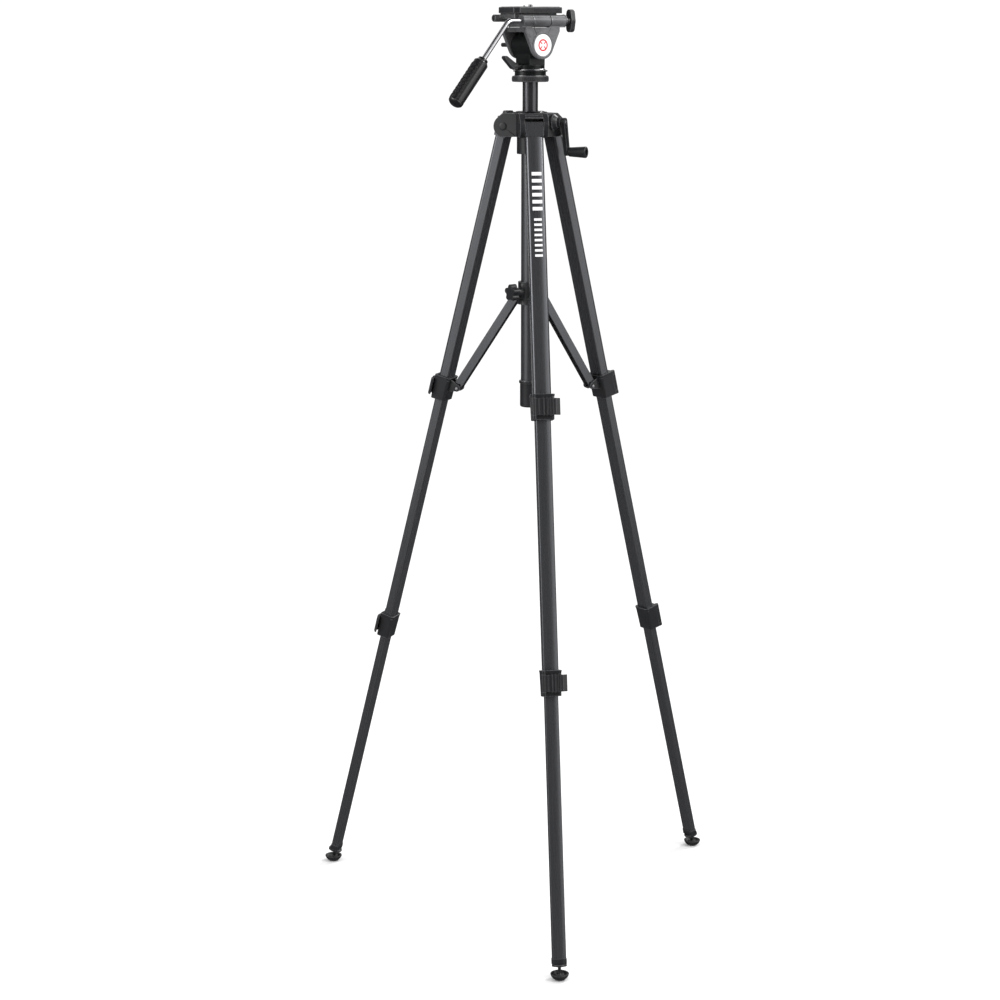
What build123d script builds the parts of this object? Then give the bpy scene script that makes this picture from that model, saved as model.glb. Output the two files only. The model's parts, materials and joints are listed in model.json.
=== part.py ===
from build123d import *
import os
from math import cos, hypot, pi, radians, sin

os.makedirs("parts", exist_ok=True)

# ---------------------------------------------------------------------------
# Driving dimensions, in millimetres and degrees
# ---------------------------------------------------------------------------

# Stance
LEG_TILT = 14.41            # from the vertical, with the legs fully spread
PIVOT_OUT = 24.8            # leg hinge pin, outward of the column's surface
PIVOT_Z = 1272.0            # leg hinge pin, above the ground
LEG_OFFSET = 5.3            # leg centreline, outward of its hinge pin
LEG_AZIMUTHS = {"a": -90.0, "b": 30.0, "c": 150.0}

# Fits
SLIDE_GAP = 0.3             # between telescoping or sliding faces
PIN_GAP = 0.05              # radial running clearance of a pin
SIDE_GAP = 0.4              # beside a knuckle or an eye

# Leg extrusions
LEG_WIDTH = 28.0
LEG_DEPTH = 20.0
LEG_WALL = 1.4
LEG_CROWN_R = 34.0          # radius of the crowned outer face
LEG_OUTER_CORNER_R = 5.5
LEG_INNER_CORNER_R = 3.0
SMALLEST_CORNER_R = 0.4

# Places along a leg, from the hinge pin down
FITTING_END = 18.0
FITTING_PLUG = 32.0
UPPER_CLAMP_AT = 438.0
LOWER_CLAMP_AT = 863.0
TUBE_OVERLAP = 45.0         # what stays inside when a leg is fully drawn out
LEG_KNUCKLE_R = 9.0
LEG_TONGUE_WIDTH = 20.0     # the knuckle that sits on the hinge pin
LEG_BLOCK_RISE = 6.0        # front of the fitting above the pin
LEG_BLOCK_BEVEL = 2.0
HINGE_PIN_R = 3.0

# Leg clamps and their levers
UPPER_CLAMP_CHEEK = 4.25    # beyond each side of the tube
LOWER_CLAMP_CHEEK = 3.9
CLAMP_LENGTH = 40.0
CLAMP_WALL = 3.6            # beyond the flat inner face and the crown of the tube
CLAMP_CORNER_R = 5.0
CLAMP_TAPER = 1.6           # degrees
CLAMP_LIP = 1.2
CLAMP_LIP_LENGTH = 5.0
CLAMP_LIP_TAPER = 10.0
TUBE_SEAT = 10.0            # clamp left below the tube that it is fixed to
LEVER_LENGTH = 26.0
LEVER_THICKNESS = 3.6
LEVER_KNUCKLE_R = 3.6
LEVER_PIN_R = 1.8
LEVER_TAB = 7.0             # how far the tab stands out beside the clamp
LEVER_RIBS = 4
LEVER_RIB_WIDTH = 2.0
LEVER_RIB_HEIGHT = 1.2
LEVER_PIN_PROUD = 1.0       # pin axis beyond the clamp's flat outer face
LEVER_TAB_DROP = 3.5        # the tab turns back towards the clamp
LEVER_TAB_EDGE = 2.5
LEVER_TAB_FLARE = 1.2
LEVER_TAB_ROOT = 1.0
LEVER_LUG_ROOT = 5.0        # lug sunk into the clamp

# Brace eyes on the upper clamps
BRACE_PIN_OUT = 12.4        # beyond the flat inner face of the clamp
BRACE_PIN_RISE = 7.0        # above the clamp centre
BRACE_EAR_R = 5.5
BRACE_EAR_THICKNESS = 3.0
BRACE_EAR_ROOT = 1.0
BRACE_PIN_R = 2.0

# Feet
PAD_R = 14.25
PAD_HEIGHT = 9.5
PAD_SOLE_INSET = 7.25       # sole inside the brim
PAD_WALL = 2.2
PAD_DISH_DEPTH = 3.2
PAD_BOSS_R = 6.4
PAD_BOSS_DROP = 0.6         # boss top below the brim
PAD_BOSS_FLARE = 1.5
PAD_WAIST_R = 11.95
PAD_WAIST_Z = 4.0
PAD_BRIM = 1.0
BALL_R = 3.9
BALL_Z = 6.2
NECK_R = 2.5
NECK_LENGTH = 13.8          # ball centre to the underside of the plug flange
PLUG_FLANGE_R = 12.2
PLUG_FLANGE_HEIGHT = 3.0
PLUG_SKIRT = 9.0
PLUG_LENGTH = 28.0
NECK_CONE = 60.0            # half angle of the opening round the neck

# Crown
CROWN_RISE = 20.7           # crown top above the hinge pins
CROWN_OUT = 15.3            # beyond the column
CROWN_DROP = 16.0           # crown body below the hinge pins
CROWN_RIM_HEIGHT = 3.0
CROWN_RIM_OUT = 1.2
CHEEK_R = 16.5
CHEEK_THICKNESS = 8.2
CHEEK_CORNER = 4.0          # square corner that carries the cheek up to the top
SLEEVE_WALL = 7.0
SLEEVE_DROP = 43.0          # sleeve below the hinge pins
WEB_RISE = 14.0             # underside of the crown web above the hinge pins
SLOT_INWARD = 5.2           # inner end of the slot for a leg block, inward of the pin

# Column and its guide
COLUMN_R = 12.2
COLUMN_WALL = 1.9
COLUMN_RISE = 68.6          # column top above the hinge pins
COLUMN_LENGTH = 450.6
GUIDE_GAP = 0.4             # column to guide tube
GUIDE_WALL = 1.4
GUIDE_SEAT = 10.0           # guide tube top below the hinge pins
GUIDE_LENGTH = 404.0
CAP_COVER = 10.6            # cap on the guide tube
CAP_DEPTH = 32.0            # cap below the guide tube
CAP_WALL = 1.3
CAP_FLOOR = 4.0
CAP_EDGE_R = 3.0
CAP_FLANGE_OUT = 1.6
CAP_FLANGE_HEIGHT = 4.0
BUSH_WALL = 5.3
BUSH_FLANGE_WALL = 8.3
BUSH_PROUD = 2.6
BUSH_TAPER = 20.0           # degrees
BUSH_DEPTH = 4.4
BUSH_GAP = 0.1

# Elevator gear
CRANK_AZIMUTH = -30.0
GEAR_MODULE = 1.0
PINION_TEETH = 12
PINION_FACE = 8.0
RACK_INSET = 2.0            # pitch line inside the column surface
TOOTH_THICKNESS = 1.05
TOOTH_HEIGHT = 0.6
TOOTH_DEPTH = 1.0
SHAFT_RISE = 6.0            # pinion shaft above the hinge pins
SHAFT_R = 2.5
PINION_ROOM = 0.8
RACK_BACKING = 1.6
RACK_END = 6.0              # plain end left below the lowest tooth
SHAFT_BACK = 12.0
HOUSING_R = 13.4
HOUSING_REACH = 41.0
HOUSING_NOSE = 6.0
HOUSING_NOSE_TAPER = 40.0   # degrees
HOUSING_BOSS_R = 7.5
HOUSING_BOSS_REACH = 46.5
CRANK_ARM_GAP = 1.5
CRANK_ARM_LENGTH = 48.0
CRANK_ARM_THICKNESS = 6.0
CRANK_ARM_R = 6.2
CRANK_EYE_R = 7.2
CRANK_ANGLE = -75.0         # rest direction, above the horizontal
CRANK_GROOVE = 1.2
CRANK_GROOVE_LENGTH = 26.0
CRANK_GROOVE_WIDTH = 4.4
CRANK_SPINDLE_R = 3.0
CRANK_SPINDLE_SHORT = 5.0
CRANK_KNOB_LENGTH = 30.0
CRANK_KNOB_R = 7.2
CRANK_KNOB_END_R = 9.2
CRANK_KNOB_EDGE_R = 2.0
CRANK_RECESS_R = 5.0

# Column lock
LOCK_AZIMUTH = 90.0
LOCK_DROP = 29.0            # below the hinge pins
LOCK_BOSS_R = 7.0
LOCK_BOSS_PROUD = 4.0       # beyond the sleeve
LOCK_KNOB_R = 8.5
LOCK_KNOB_LENGTH = 11.0
LOCK_SCREW_R = 3.0
LOCK_KNOB_FLUTES = 8
LOCK_FLUTE_R = 1.6

# Bubble level
LEVEL_AZIMUTH = 150.0
LEVEL_AT_R = 37.5
LEVEL_R = 6.5
LEVEL_SEAT_R = 8.6
LEVEL_SEAT_PROUD = 2.0
LEVEL_SEAT_DEPTH = 5.0
LEVEL_DEPTH = 3.0
LEVEL_DOME = 0.8

# Mid-level brace
HUB_RISE = 30.8             # hub top above its strut pins
HUB_DROP = 5.2              # hub underside below its strut pins
HUB_WALL = 4.6
HUB_PIVOT_OUT = 6.4         # strut pins outward of the hub
HUB_PIVOT_DROP = 274.8      # strut pins below the hinge pins
HUB_LUG_R = 2.8
HUB_PIN_R = 1.5
HUB_SKIRT_OUT = 1.8
HUB_SKIRT_HEIGHT = 10.0
HUB_SKIRT_TAPER = 10.0      # degrees
BRACE_WIDTH = 12.4
BRACE_DEPTH = 13.5
BRACE_SHIFT = 1.75          # middle of the section above the line of its pins
BRACE_WALL = 1.5
BRACE_END = 1.0             # end radius centred beyond the leg pin
BRACE_SLOT = 5.0            # play along the brace at its leg end
BRACE_SLOT_WIDEN = 0.9      # play across the brace at its leg end
BRACE_SLOT_SHIFT = -0.35    # the pin moves towards the open side as the legs fold
HUB_KNOB_AZIMUTH = -150.0
HUB_KNOB_RISE = 14.8        # above the strut pins
HUB_KNOB_R = 13.5
HUB_KNOB_LOBES = 5
HUB_KNOB_LOBE_R = 4.6
HUB_KNOB_CORE_R = 9.7
HUB_KNOB_THICKNESS = 12.0
HUB_KNOB_EDGE_R = 1.2
HUB_KNOB_GAP = 1.5          # between the boss and the knob
HUB_BOSS_R = 7.0
HUB_BOSS_PROUD = 8.4        # beyond the hub
HUB_SCREW_R = 3.0

# Head
HEAD_AZIMUTH = 31.0         # the way the head faces
BASE_RIM = 4.0              # pan base beyond the ring above it
BASE_HEIGHT = 9.4
BASE_SPIGOT = 10.0
BASE_CHAMFER = 0.8
PAN_RING_R = 24.5
PAN_RING_HEIGHT = 6.0
NECK_RISE = 26.0            # top of the pan neck above the column
PAN_NECK_R = 22.4
PAN_GAP = 0.3
TILT_RISE = 56.4            # tilt axis above the column
DRUM_R = 20.0
DRUM_HALF = 23.6
PEDESTAL_LENGTH = 30.0
PEDESTAL_INSET = 12.0
PAN_BOLT_R = 5.0
PAN_LOCK_RISE = 24.0        # above the column
PAN_LOCK_PROUD = 4.6        # boss beyond the pan neck
PAN_LOCK_R = 5.4
PAN_SCREW_R = 3.0
PADDLE_HUB_LENGTH = 7.0
PADDLE_OUT = 23.0
PADDLE_UP = 13.5
PADDLE_WIDTH = 10.0
PADDLE_THICKNESS = 8.5
PADDLE_TIP_R = 2.8
PLATE_GAP = 1.0             # between the drum and a side plate
PLATE_THICKNESS = 6.4
PLATE_BOSS_R = 21.5
PLATE_TOP_LENGTH = 68.0
PLATE_RISE = 27.0           # top of the side plates above the tilt axis
PLATE_SHOULDER = 6.0
BRIDGE_THICKNESS = 7.0
AXLE_R = 5.0
BADGE_R = 17.0
BADGE_DEPTH = 1.6
BADGE_PROUD = 0.6
TILT_STUD_R = 2.0
TILT_STUD_LENGTH = 8.0
TILT_COLLAR_R = 9.0
TILT_COLLAR_LENGTH = 10.0
TILT_STICK_R = 3.3
TILT_STEM_R = 2.64
TILT_STICK_LENGTH = 40.0
TILT_TIP_LENGTH = 12.0

# Flip platform and its hinge barrel
BARREL_R = 9.0
BARREL_INSET = 4.0          # barrel axis inside the near plate
BARREL_RISE = 37.0          # barrel axis above the tilt axis
BARREL_REAR = -40.0
KNUCKLE_REAR = -20.0
KNUCKLE_FRONT = 13.5
BARREL_FRONT = 45.0
KNUCKLE_GAP = 0.35
FLIP_SHAFT_R = 3.2
PLATFORM_LENGTH = 84.0
PLATFORM_CORNER_R = 4.0
PLATFORM_WEB = 5.0          # web between the platform and its knuckle
PLATFORM_WIDTH = 40.5
PLATFORM_INSET = 11.5       # near edge of the platform inside the barrel axis
PLATFORM_RISE = 3.0         # platform underside above the barrel axis
PLATFORM_HEIGHT = 8.5
QUICK_HEIGHT = 9.5
PLATFORM_RIB_LENGTH = 56.0
PLATFORM_RIB_WIDTH = 30.0
PLATFORM_RIB_SHIFT = 5.0
SOCKET_R = 5.6
SOCKET_REACH = -54.0
SOCKET_LENGTH = 24.0
SOCKET_RECESS = 3.0         # the bore is closed off just behind its mouth
SOCKET_SIDE = 24.0          # to the far side
SOCKET_RISE = 4.0           # above the barrel axis
WING_STANDOFF = 9.5
WING_THICKNESS = 8.5
WING_HEIGHT = 35.0
WING_WIDTH = 12.0
WING_HUB_R = 8.0
WING_STEM_R = 5.6
WING_EDGE_R = 1.0

# Quick release plate
QUICK_LENGTH = 96.0
QUICK_WIDTH = 52.0
QUICK_CORNER = 7.0
TONGUE_LENGTH = 60.0
TONGUE_WIDTH = 26.0
TONGUE_DEPTH = 4.5
TONGUE_GAP = 0.3
SCREW_R = 3.175
SCREW_SHANK_R = 3.4         # inside the plate, below the thread
SCREW_PROUD = 4.0
SCREW_HEAD_R = 8.0
SCREW_HEAD_HEIGHT = 2.6
SCREW_GAP = 0.3
PIN_R = 1.6
PIN_BACK = 12.5
PIN_PROUD = 2.6
PIN_HEAD_R = 2.6
PIN_HEAD_HEIGHT = 1.5
SCREW_SLOT = 1.4
SCREW_TIP = 0.5
QUICK_EDGE = 0.8
RELEASE_AT = -14.0
RELEASE_LENGTH = 30.0
RELEASE_FLARE = 1.0         # its tip stands out for a fingertip
RELEASE_THICKNESS = 4.0
RELEASE_PIN_R = 1.6
RELEASE_EAR_R = 3.6
RELEASE_EAR_THICKNESS = 2.0

# Pan handle
ROD_R = 4.0
ROD_STRAIGHT = 24.0
ROD_DROP = 49.8             # below the horizontal, after the bend
ROD_BEND_R = 14.0
BEND_TO_TIP = 164.0
GRIP_LENGTH = 88.0
GRIP_R = 11.7
GRIP_NECK_R = 8.0
GRIP_DOME = 5.0
GRIP_DOME_MID = 1.5         # point on the domed end, along and out
GRIP_DOME_MID_R = 8.4
GRIP_LIP = 2.5
GRIP_SHOULDER = 7.0
GRIP_END_WALL = 14.0
ROD_SEAT = 6.0

# ---------------------------------------------------------------------------
# Worked out from those
# ---------------------------------------------------------------------------

tilt = radians(LEG_TILT)
pivot_r = COLUMN_R + PIVOT_OUT
leg_top_r = pivot_r + LEG_OFFSET * cos(tilt)
leg_top_z = PIVOT_Z + LEG_OFFSET * sin(tilt)
leg_length = (leg_top_z - BALL_Z) / cos(tilt)
foot_r = leg_top_r + leg_length * sin(tilt)

# The origin is on the ground, midway between the front foot and the rear pair
axis_y = foot_r / 4

# Legs
middle_inset = LEG_WALL + SLIDE_GAP
lower_inset = 2 * middle_inset
upper_clamp_width = LEG_WIDTH + 2 * UPPER_CLAMP_CHEEK
lower_clamp_width = LEG_WIDTH - 2 * middle_inset + 2 * LOWER_CLAMP_CHEEK
middle_top = UPPER_CLAMP_AT + CLAMP_LENGTH / 2 - TUBE_SEAT - TUBE_OVERLAP
upper_end = UPPER_CLAMP_AT + CLAMP_LENGTH / 2 - TUBE_SEAT
middle_end = LOWER_CLAMP_AT + CLAMP_LENGTH / 2 - TUBE_SEAT
lower_top = middle_end - TUBE_OVERLAP
plug_flange_top = leg_length - NECK_LENGTH - PLUG_FLANGE_HEIGHT
lower_end = plug_flange_top - PLUG_SKIRT
pad_sole_r = PAD_R - PAD_SOLE_INSET

# Crown, guide tube and column
crown_top = PIVOT_Z + CROWN_RISE
crown_bottom = PIVOT_Z - CROWN_DROP
crown_r = COLUMN_R + CROWN_OUT
sleeve_bottom = PIVOT_Z - SLEEVE_DROP
web_underside = PIVOT_Z + WEB_RISE
slot_inner_r = pivot_r - SLOT_INWARD
guide_r = COLUMN_R + GUIDE_GAP + GUIDE_WALL
sleeve_r = guide_r + SLEEVE_WALL
column_top = PIVOT_Z + COLUMN_RISE
column_bottom = column_top - COLUMN_LENGTH
guide_top = PIVOT_Z - GUIDE_SEAT
guide_bottom = guide_top - GUIDE_LENGTH
cap_top = guide_bottom + CAP_COVER
cap_bottom = guide_bottom - CAP_DEPTH
bush_r = COLUMN_R + BUSH_WALL
bush_flange_r = COLUMN_R + BUSH_FLANGE_WALL
lock_z = PIVOT_Z - LOCK_DROP
lock_boss_reach = sleeve_r + LOCK_BOSS_PROUD

# Elevator gear
rack_pitch_line = COLUMN_R - RACK_INSET
shaft_z = PIVOT_Z + SHAFT_RISE
pinion_r = GEAR_MODULE * PINION_TEETH / 2
gear_pitch = pi * GEAR_MODULE
shaft_offset = rack_pitch_line + pinion_r

# Mid-level brace
hub_pivot_z = PIVOT_Z - HUB_PIVOT_DROP
hub_top = hub_pivot_z + HUB_RISE
hub_bottom = hub_pivot_z - HUB_DROP
hub_knob_z = hub_pivot_z + HUB_KNOB_RISE
hub_r = guide_r + HUB_WALL
hub_pivot_r = hub_r + HUB_PIVOT_OUT
hub_skirt_r = hub_r + HUB_SKIRT_OUT
hub_boss_reach = hub_r + HUB_BOSS_PROUD
hub_knob_face = hub_boss_reach + HUB_KNOB_GAP
brace_pin_inward = LEG_DEPTH / 2 + CLAMP_WALL + BRACE_PIN_OUT
ears_inner = BRACE_WIDTH / 2 + SIDE_GAP
brace_pin_at = UPPER_CLAMP_AT - BRACE_PIN_RISE
brace_pin_r = leg_top_r - brace_pin_inward * cos(tilt) + brace_pin_at * sin(tilt)
brace_pin_z = leg_top_z - brace_pin_inward * sin(tilt) - brace_pin_at * cos(tilt)
brace_length = hypot(brace_pin_r - hub_pivot_r, hub_pivot_z - brace_pin_z)

# Head
base_r = PAN_RING_R + BASE_RIM
neck_top = column_top + NECK_RISE
tilt_z = column_top + TILT_RISE
pan_lock_z = column_top + PAN_LOCK_RISE
pan_lock_reach = PAN_NECK_R + PAN_LOCK_PROUD
plate_inner = DRUM_HALF + PLATE_GAP
plate_outer = plate_inner + PLATE_THICKNESS
side_plate_top = tilt_z + PLATE_RISE
barrel_z = tilt_z + BARREL_RISE
barrel_side = plate_outer - BARREL_INSET
wing_face = BARREL_FRONT + WING_STANDOFF
platform_bottom = barrel_z + PLATFORM_RISE
platform_near = barrel_side - PLATFORM_INSET
platform_far = platform_near - PLATFORM_WIDTH
quick_bottom = platform_bottom + PLATFORM_HEIGHT
quick_top = quick_bottom + QUICK_HEIGHT
socket_z = barrel_z + SOCKET_RISE


# ---------------------------------------------------------------------------
# Planes
# ---------------------------------------------------------------------------

def outward(azimuth):
    """Level direction that points away from the column at an azimuth."""
    return Vector(cos(radians(azimuth)), sin(radians(azimuth)), 0)


def level(height):
    """Level plane on the column axis."""
    return Plane(origin=(0, axis_y, height), x_dir=(1, 0, 0), z_dir=(0, 0, 1))


def upright(azimuth, height=0.0):
    """Upright plane through the column axis: x outward, y up."""
    side = outward(azimuth - 90)
    return Plane(origin=(0, axis_y, height), x_dir=outward(azimuth), z_dir=side)


def facing(azimuth, distance, height=0.0, sideways=0.0):
    """Upright plane that faces outward: x to its left seen from outside, y up."""
    centre = Vector(0, axis_y, height) + outward(azimuth) * distance
    left = outward(azimuth + 90)
    return Plane(origin=centre + left * sideways, x_dir=left, z_dir=outward(azimuth))


def leg_plane(azimuth):
    """Plane across a leg at its hinge: x sideways, y outward, z down the leg."""
    out = outward(azimuth)
    top = Vector(0, axis_y, leg_top_z) + out * leg_top_r
    down = out * sin(tilt) - Vector(0, 0, cos(tilt))
    return Plane(origin=top, x_dir=outward(azimuth + 90), z_dir=down)


def leg_side_plane(azimuth):
    """Plane along a leg: x outward, y down the leg."""
    across = leg_plane(azimuth)
    return Plane(origin=across.origin, x_dir=across.y_dir, z_dir=across.x_dir)


def finish(piece, name):
    """Label a finished piece and write it."""
    piece.part.label = name
    export_step(piece.part, "parts/" + name + ".step")


# ---------------------------------------------------------------------------
# Legs
# ---------------------------------------------------------------------------

def leg_outline(inset):
    """Leg section: flat inner face, crowned outer face, rounded corners."""
    half = LEG_WIDTH / 2 - inset
    inner = -LEG_DEPTH / 2 + inset
    outer = LEG_DEPTH / 2 - inset
    radius = LEG_CROWN_R - inset
    shoulder = outer - radius + (radius ** 2 - half ** 2) ** 0.5
    with BuildSketch(mode=Mode.PRIVATE) as outline:
        with BuildLine():
            Polyline((-half, shoulder), (-half, inner), (half, inner), (half, shoulder))
            ThreePointArc((half, shoulder), (0, outer), (-half, shoulder))
        make_face()
        corners = outline.vertices().group_by(Axis.Y)
        fillet(corners[0], max(LEG_INNER_CORNER_R - inset, SMALLEST_CORNER_R))
        corners = outline.vertices().group_by(Axis.Y)
        fillet(corners[-1], max(LEG_OUTER_CORNER_R - inset, SMALLEST_CORNER_R))
    return outline.sketch


def make_fitting(name, azimuth):
    """Knuckle that carries the leg on its hinge pin and plugs into the tube."""
    side = leg_side_plane(azimuth)
    front = LEG_DEPTH / 2
    with BuildPart() as fitting:
        with BuildSketch(side):
            with BuildLine():
                Polyline(
                    (-front, LEG_BLOCK_RISE - LEG_BLOCK_BEVEL),
                    (0, -LEG_BLOCK_RISE),
                    (front - LEG_BLOCK_BEVEL, -LEG_BLOCK_RISE),
                    (front, LEG_BLOCK_BEVEL - LEG_BLOCK_RISE),
                    (front, FITTING_END),
                    (-front, FITTING_END),
                    close=True,
                )
            make_face()
        extrude(amount=LEG_WIDTH / 2, both=True)
        with BuildSketch(side):
            with Locations((-LEG_OFFSET, 0)):
                Circle(LEG_KNUCKLE_R)
            with Locations((0, FITTING_END / 2)):
                Rectangle(LEG_DEPTH / 2, FITTING_END / 4)
            make_hull()
        extrude(amount=LEG_TONGUE_WIDTH / 2, both=True)
        with BuildSketch(leg_plane(azimuth).offset(FITTING_END)):
            add(leg_outline(LEG_WALL + PIN_GAP))
        extrude(amount=FITTING_PLUG)
        with BuildSketch(side):
            with Locations((-LEG_OFFSET, 0)):
                Circle(HINGE_PIN_R + PIN_GAP)
        extrude(amount=LEG_WIDTH, both=True, mode=Mode.SUBTRACT)
    finish(fitting, name)


def make_tube(name, azimuth, inset, start, end):
    """One extruded leg tube."""
    with BuildPart() as tube:
        with BuildSketch(leg_plane(azimuth).offset(start)):
            add(leg_outline(inset))
            add(leg_outline(inset + LEG_WALL), mode=Mode.SUBTRACT)
        extrude(amount=end - start)
    finish(tube, name)


def make_clamp(name, azimuth, width, centre, inset, ears):
    """Moulded clamp round a tube's end, with lever lugs and perhaps brace ears."""
    across = leg_plane(azimuth)
    side = leg_side_plane(azimuth)
    top = centre - CLAMP_LENGTH / 2
    depth = LEG_DEPTH - 2 * inset + 2 * CLAMP_WALL
    lever_x = LEVER_KNUCKLE_R - width / 2
    lever_y = depth / 2 + LEVER_PIN_PROUD
    with BuildPart() as clamp:
        with BuildSketch(across.offset(top)):
            RectangleRounded(width, depth, CLAMP_CORNER_R)
        extrude(amount=CLAMP_LENGTH, taper=CLAMP_TAPER)
        with BuildSketch(across.offset(top)):
            RectangleRounded(width + CLAMP_LIP, depth + CLAMP_LIP, CLAMP_CORNER_R)
        extrude(amount=CLAMP_LIP_LENGTH, taper=CLAMP_LIP_TAPER)
        with BuildSketch(across.offset(top)):
            with Locations((lever_x, lever_y)):
                Circle(LEVER_KNUCKLE_R)
            with Locations((lever_x, lever_y - LEVER_LUG_ROOT / 2)):
                Rectangle(2 * LEVER_KNUCKLE_R, LEVER_LUG_ROOT)
        extrude(amount=CLAMP_LENGTH)
        with BuildSketch(across.offset(centre - LEVER_LENGTH / 2 - SLIDE_GAP)):
            with Locations((lever_x, lever_y)):
                Circle(LEVER_KNUCKLE_R + SLIDE_GAP)
            with Locations((0, depth + SLIDE_GAP / 2)):
                Rectangle(2 * width, depth)
        extrude(amount=LEVER_LENGTH + 2 * SLIDE_GAP, mode=Mode.SUBTRACT)
        with BuildSketch(across.offset(top)):
            with Locations((lever_x, lever_y)):
                Circle(LEVER_PIN_R + PIN_GAP)
        extrude(amount=CLAMP_LENGTH, mode=Mode.SUBTRACT)
        if ears:
            ear_x = ears_inner + BRACE_EAR_THICKNESS / 2
            for where in (-ear_x, ear_x):
                with BuildSketch(side.offset(where)):
                    with Locations((-brace_pin_inward, centre - BRACE_PIN_RISE)):
                        Circle(BRACE_EAR_R)
                    with Locations((CLAMP_WALL / 2 - depth / 2, centre - BRACE_PIN_RISE)):
                        Rectangle(BRACE_EAR_ROOT, CLAMP_LENGTH / 2)
                    make_hull()
                extrude(amount=BRACE_EAR_THICKNESS / 2, both=True)
            with BuildSketch(side):
                with Locations((-brace_pin_inward, centre - BRACE_PIN_RISE)):
                    Circle(BRACE_PIN_R)
            extrude(amount=ear_x, both=True)
        with BuildSketch(across.offset(top)):
            add(leg_outline(inset))
        extrude(amount=CLAMP_LENGTH - TUBE_SEAT, mode=Mode.SUBTRACT)
        with BuildSketch(across.offset(centre)):
            add(leg_outline(inset + LEG_WALL))
        extrude(amount=CLAMP_LENGTH, mode=Mode.SUBTRACT)
    finish(clamp, name)


def make_lever(name, azimuth, width, centre, inset):
    """Flip lever across the outer face of a clamp, on its own pin."""
    across = leg_plane(azimuth)
    start = centre - LEVER_LENGTH / 2
    depth = LEG_DEPTH - 2 * inset + 2 * CLAMP_WALL
    lever_x = LEVER_KNUCKLE_R - width / 2
    lever_y = depth / 2 + LEVER_PIN_PROUD
    inner_face = depth / 2 + SLIDE_GAP
    tab_end = width / 2 + LEVER_TAB
    with BuildPart() as lever:
        with BuildSketch(across.offset(start)):
            with BuildLine():
                Polyline(
                    (lever_x, inner_face),
                    (width / 2 - LEVER_TAB_ROOT, inner_face),
                    (tab_end, inner_face - LEVER_TAB_DROP),
                    (tab_end + LEVER_TAB_FLARE, inner_face - LEVER_TAB_DROP + LEVER_TAB_EDGE),
                    (width / 2 + LEVER_TAB_ROOT, inner_face + LEVER_THICKNESS),
                    (lever_x, inner_face + LEVER_THICKNESS),
                    close=True,
                )
            make_face()
            with Locations((lever_x, lever_y)):
                Circle(LEVER_KNUCKLE_R)
            rib_step = (width - 2 * LEVER_KNUCKLE_R) / LEVER_RIBS
            for rib in range(LEVER_RIBS):
                rib_x = lever_x + LEVER_KNUCKLE_R + (rib + 0.5) * rib_step
                with Locations((rib_x, inner_face + LEVER_THICKNESS)):
                    Rectangle(LEVER_RIB_WIDTH, 2 * LEVER_RIB_HEIGHT)
        extrude(amount=LEVER_LENGTH)
        with BuildSketch(across.offset(centre - CLAMP_LENGTH / 2)):
            with Locations((lever_x, lever_y)):
                Circle(LEVER_PIN_R)
        extrude(amount=CLAMP_LENGTH)
    finish(lever, name)


def make_foot_plug(name, azimuth):
    """End plug of the lowest tube, with the neck and ball that hold the pad."""
    across = leg_plane(azimuth)
    with BuildPart() as plug:
        with BuildSketch(across.offset(lower_end)):
            add(leg_outline(lower_inset - LEG_WALL / 2))
        extrude(amount=PLUG_SKIRT)
        with BuildSketch(across.offset(lower_end - PLUG_LENGTH)):
            add(leg_outline(lower_inset + LEG_WALL + PIN_GAP))
        extrude(amount=PLUG_LENGTH)
        with BuildSketch(across.offset(plug_flange_top)):
            Circle(PLUG_FLANGE_R - 1)
        extrude(amount=PLUG_FLANGE_HEIGHT, taper=-10)
        with BuildSketch(across.offset(plug_flange_top)):
            Circle(NECK_R)
        extrude(amount=leg_length - plug_flange_top)
        with Locations(across.offset(leg_length)):
            Sphere(BALL_R)
    finish(plug, name)


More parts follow.
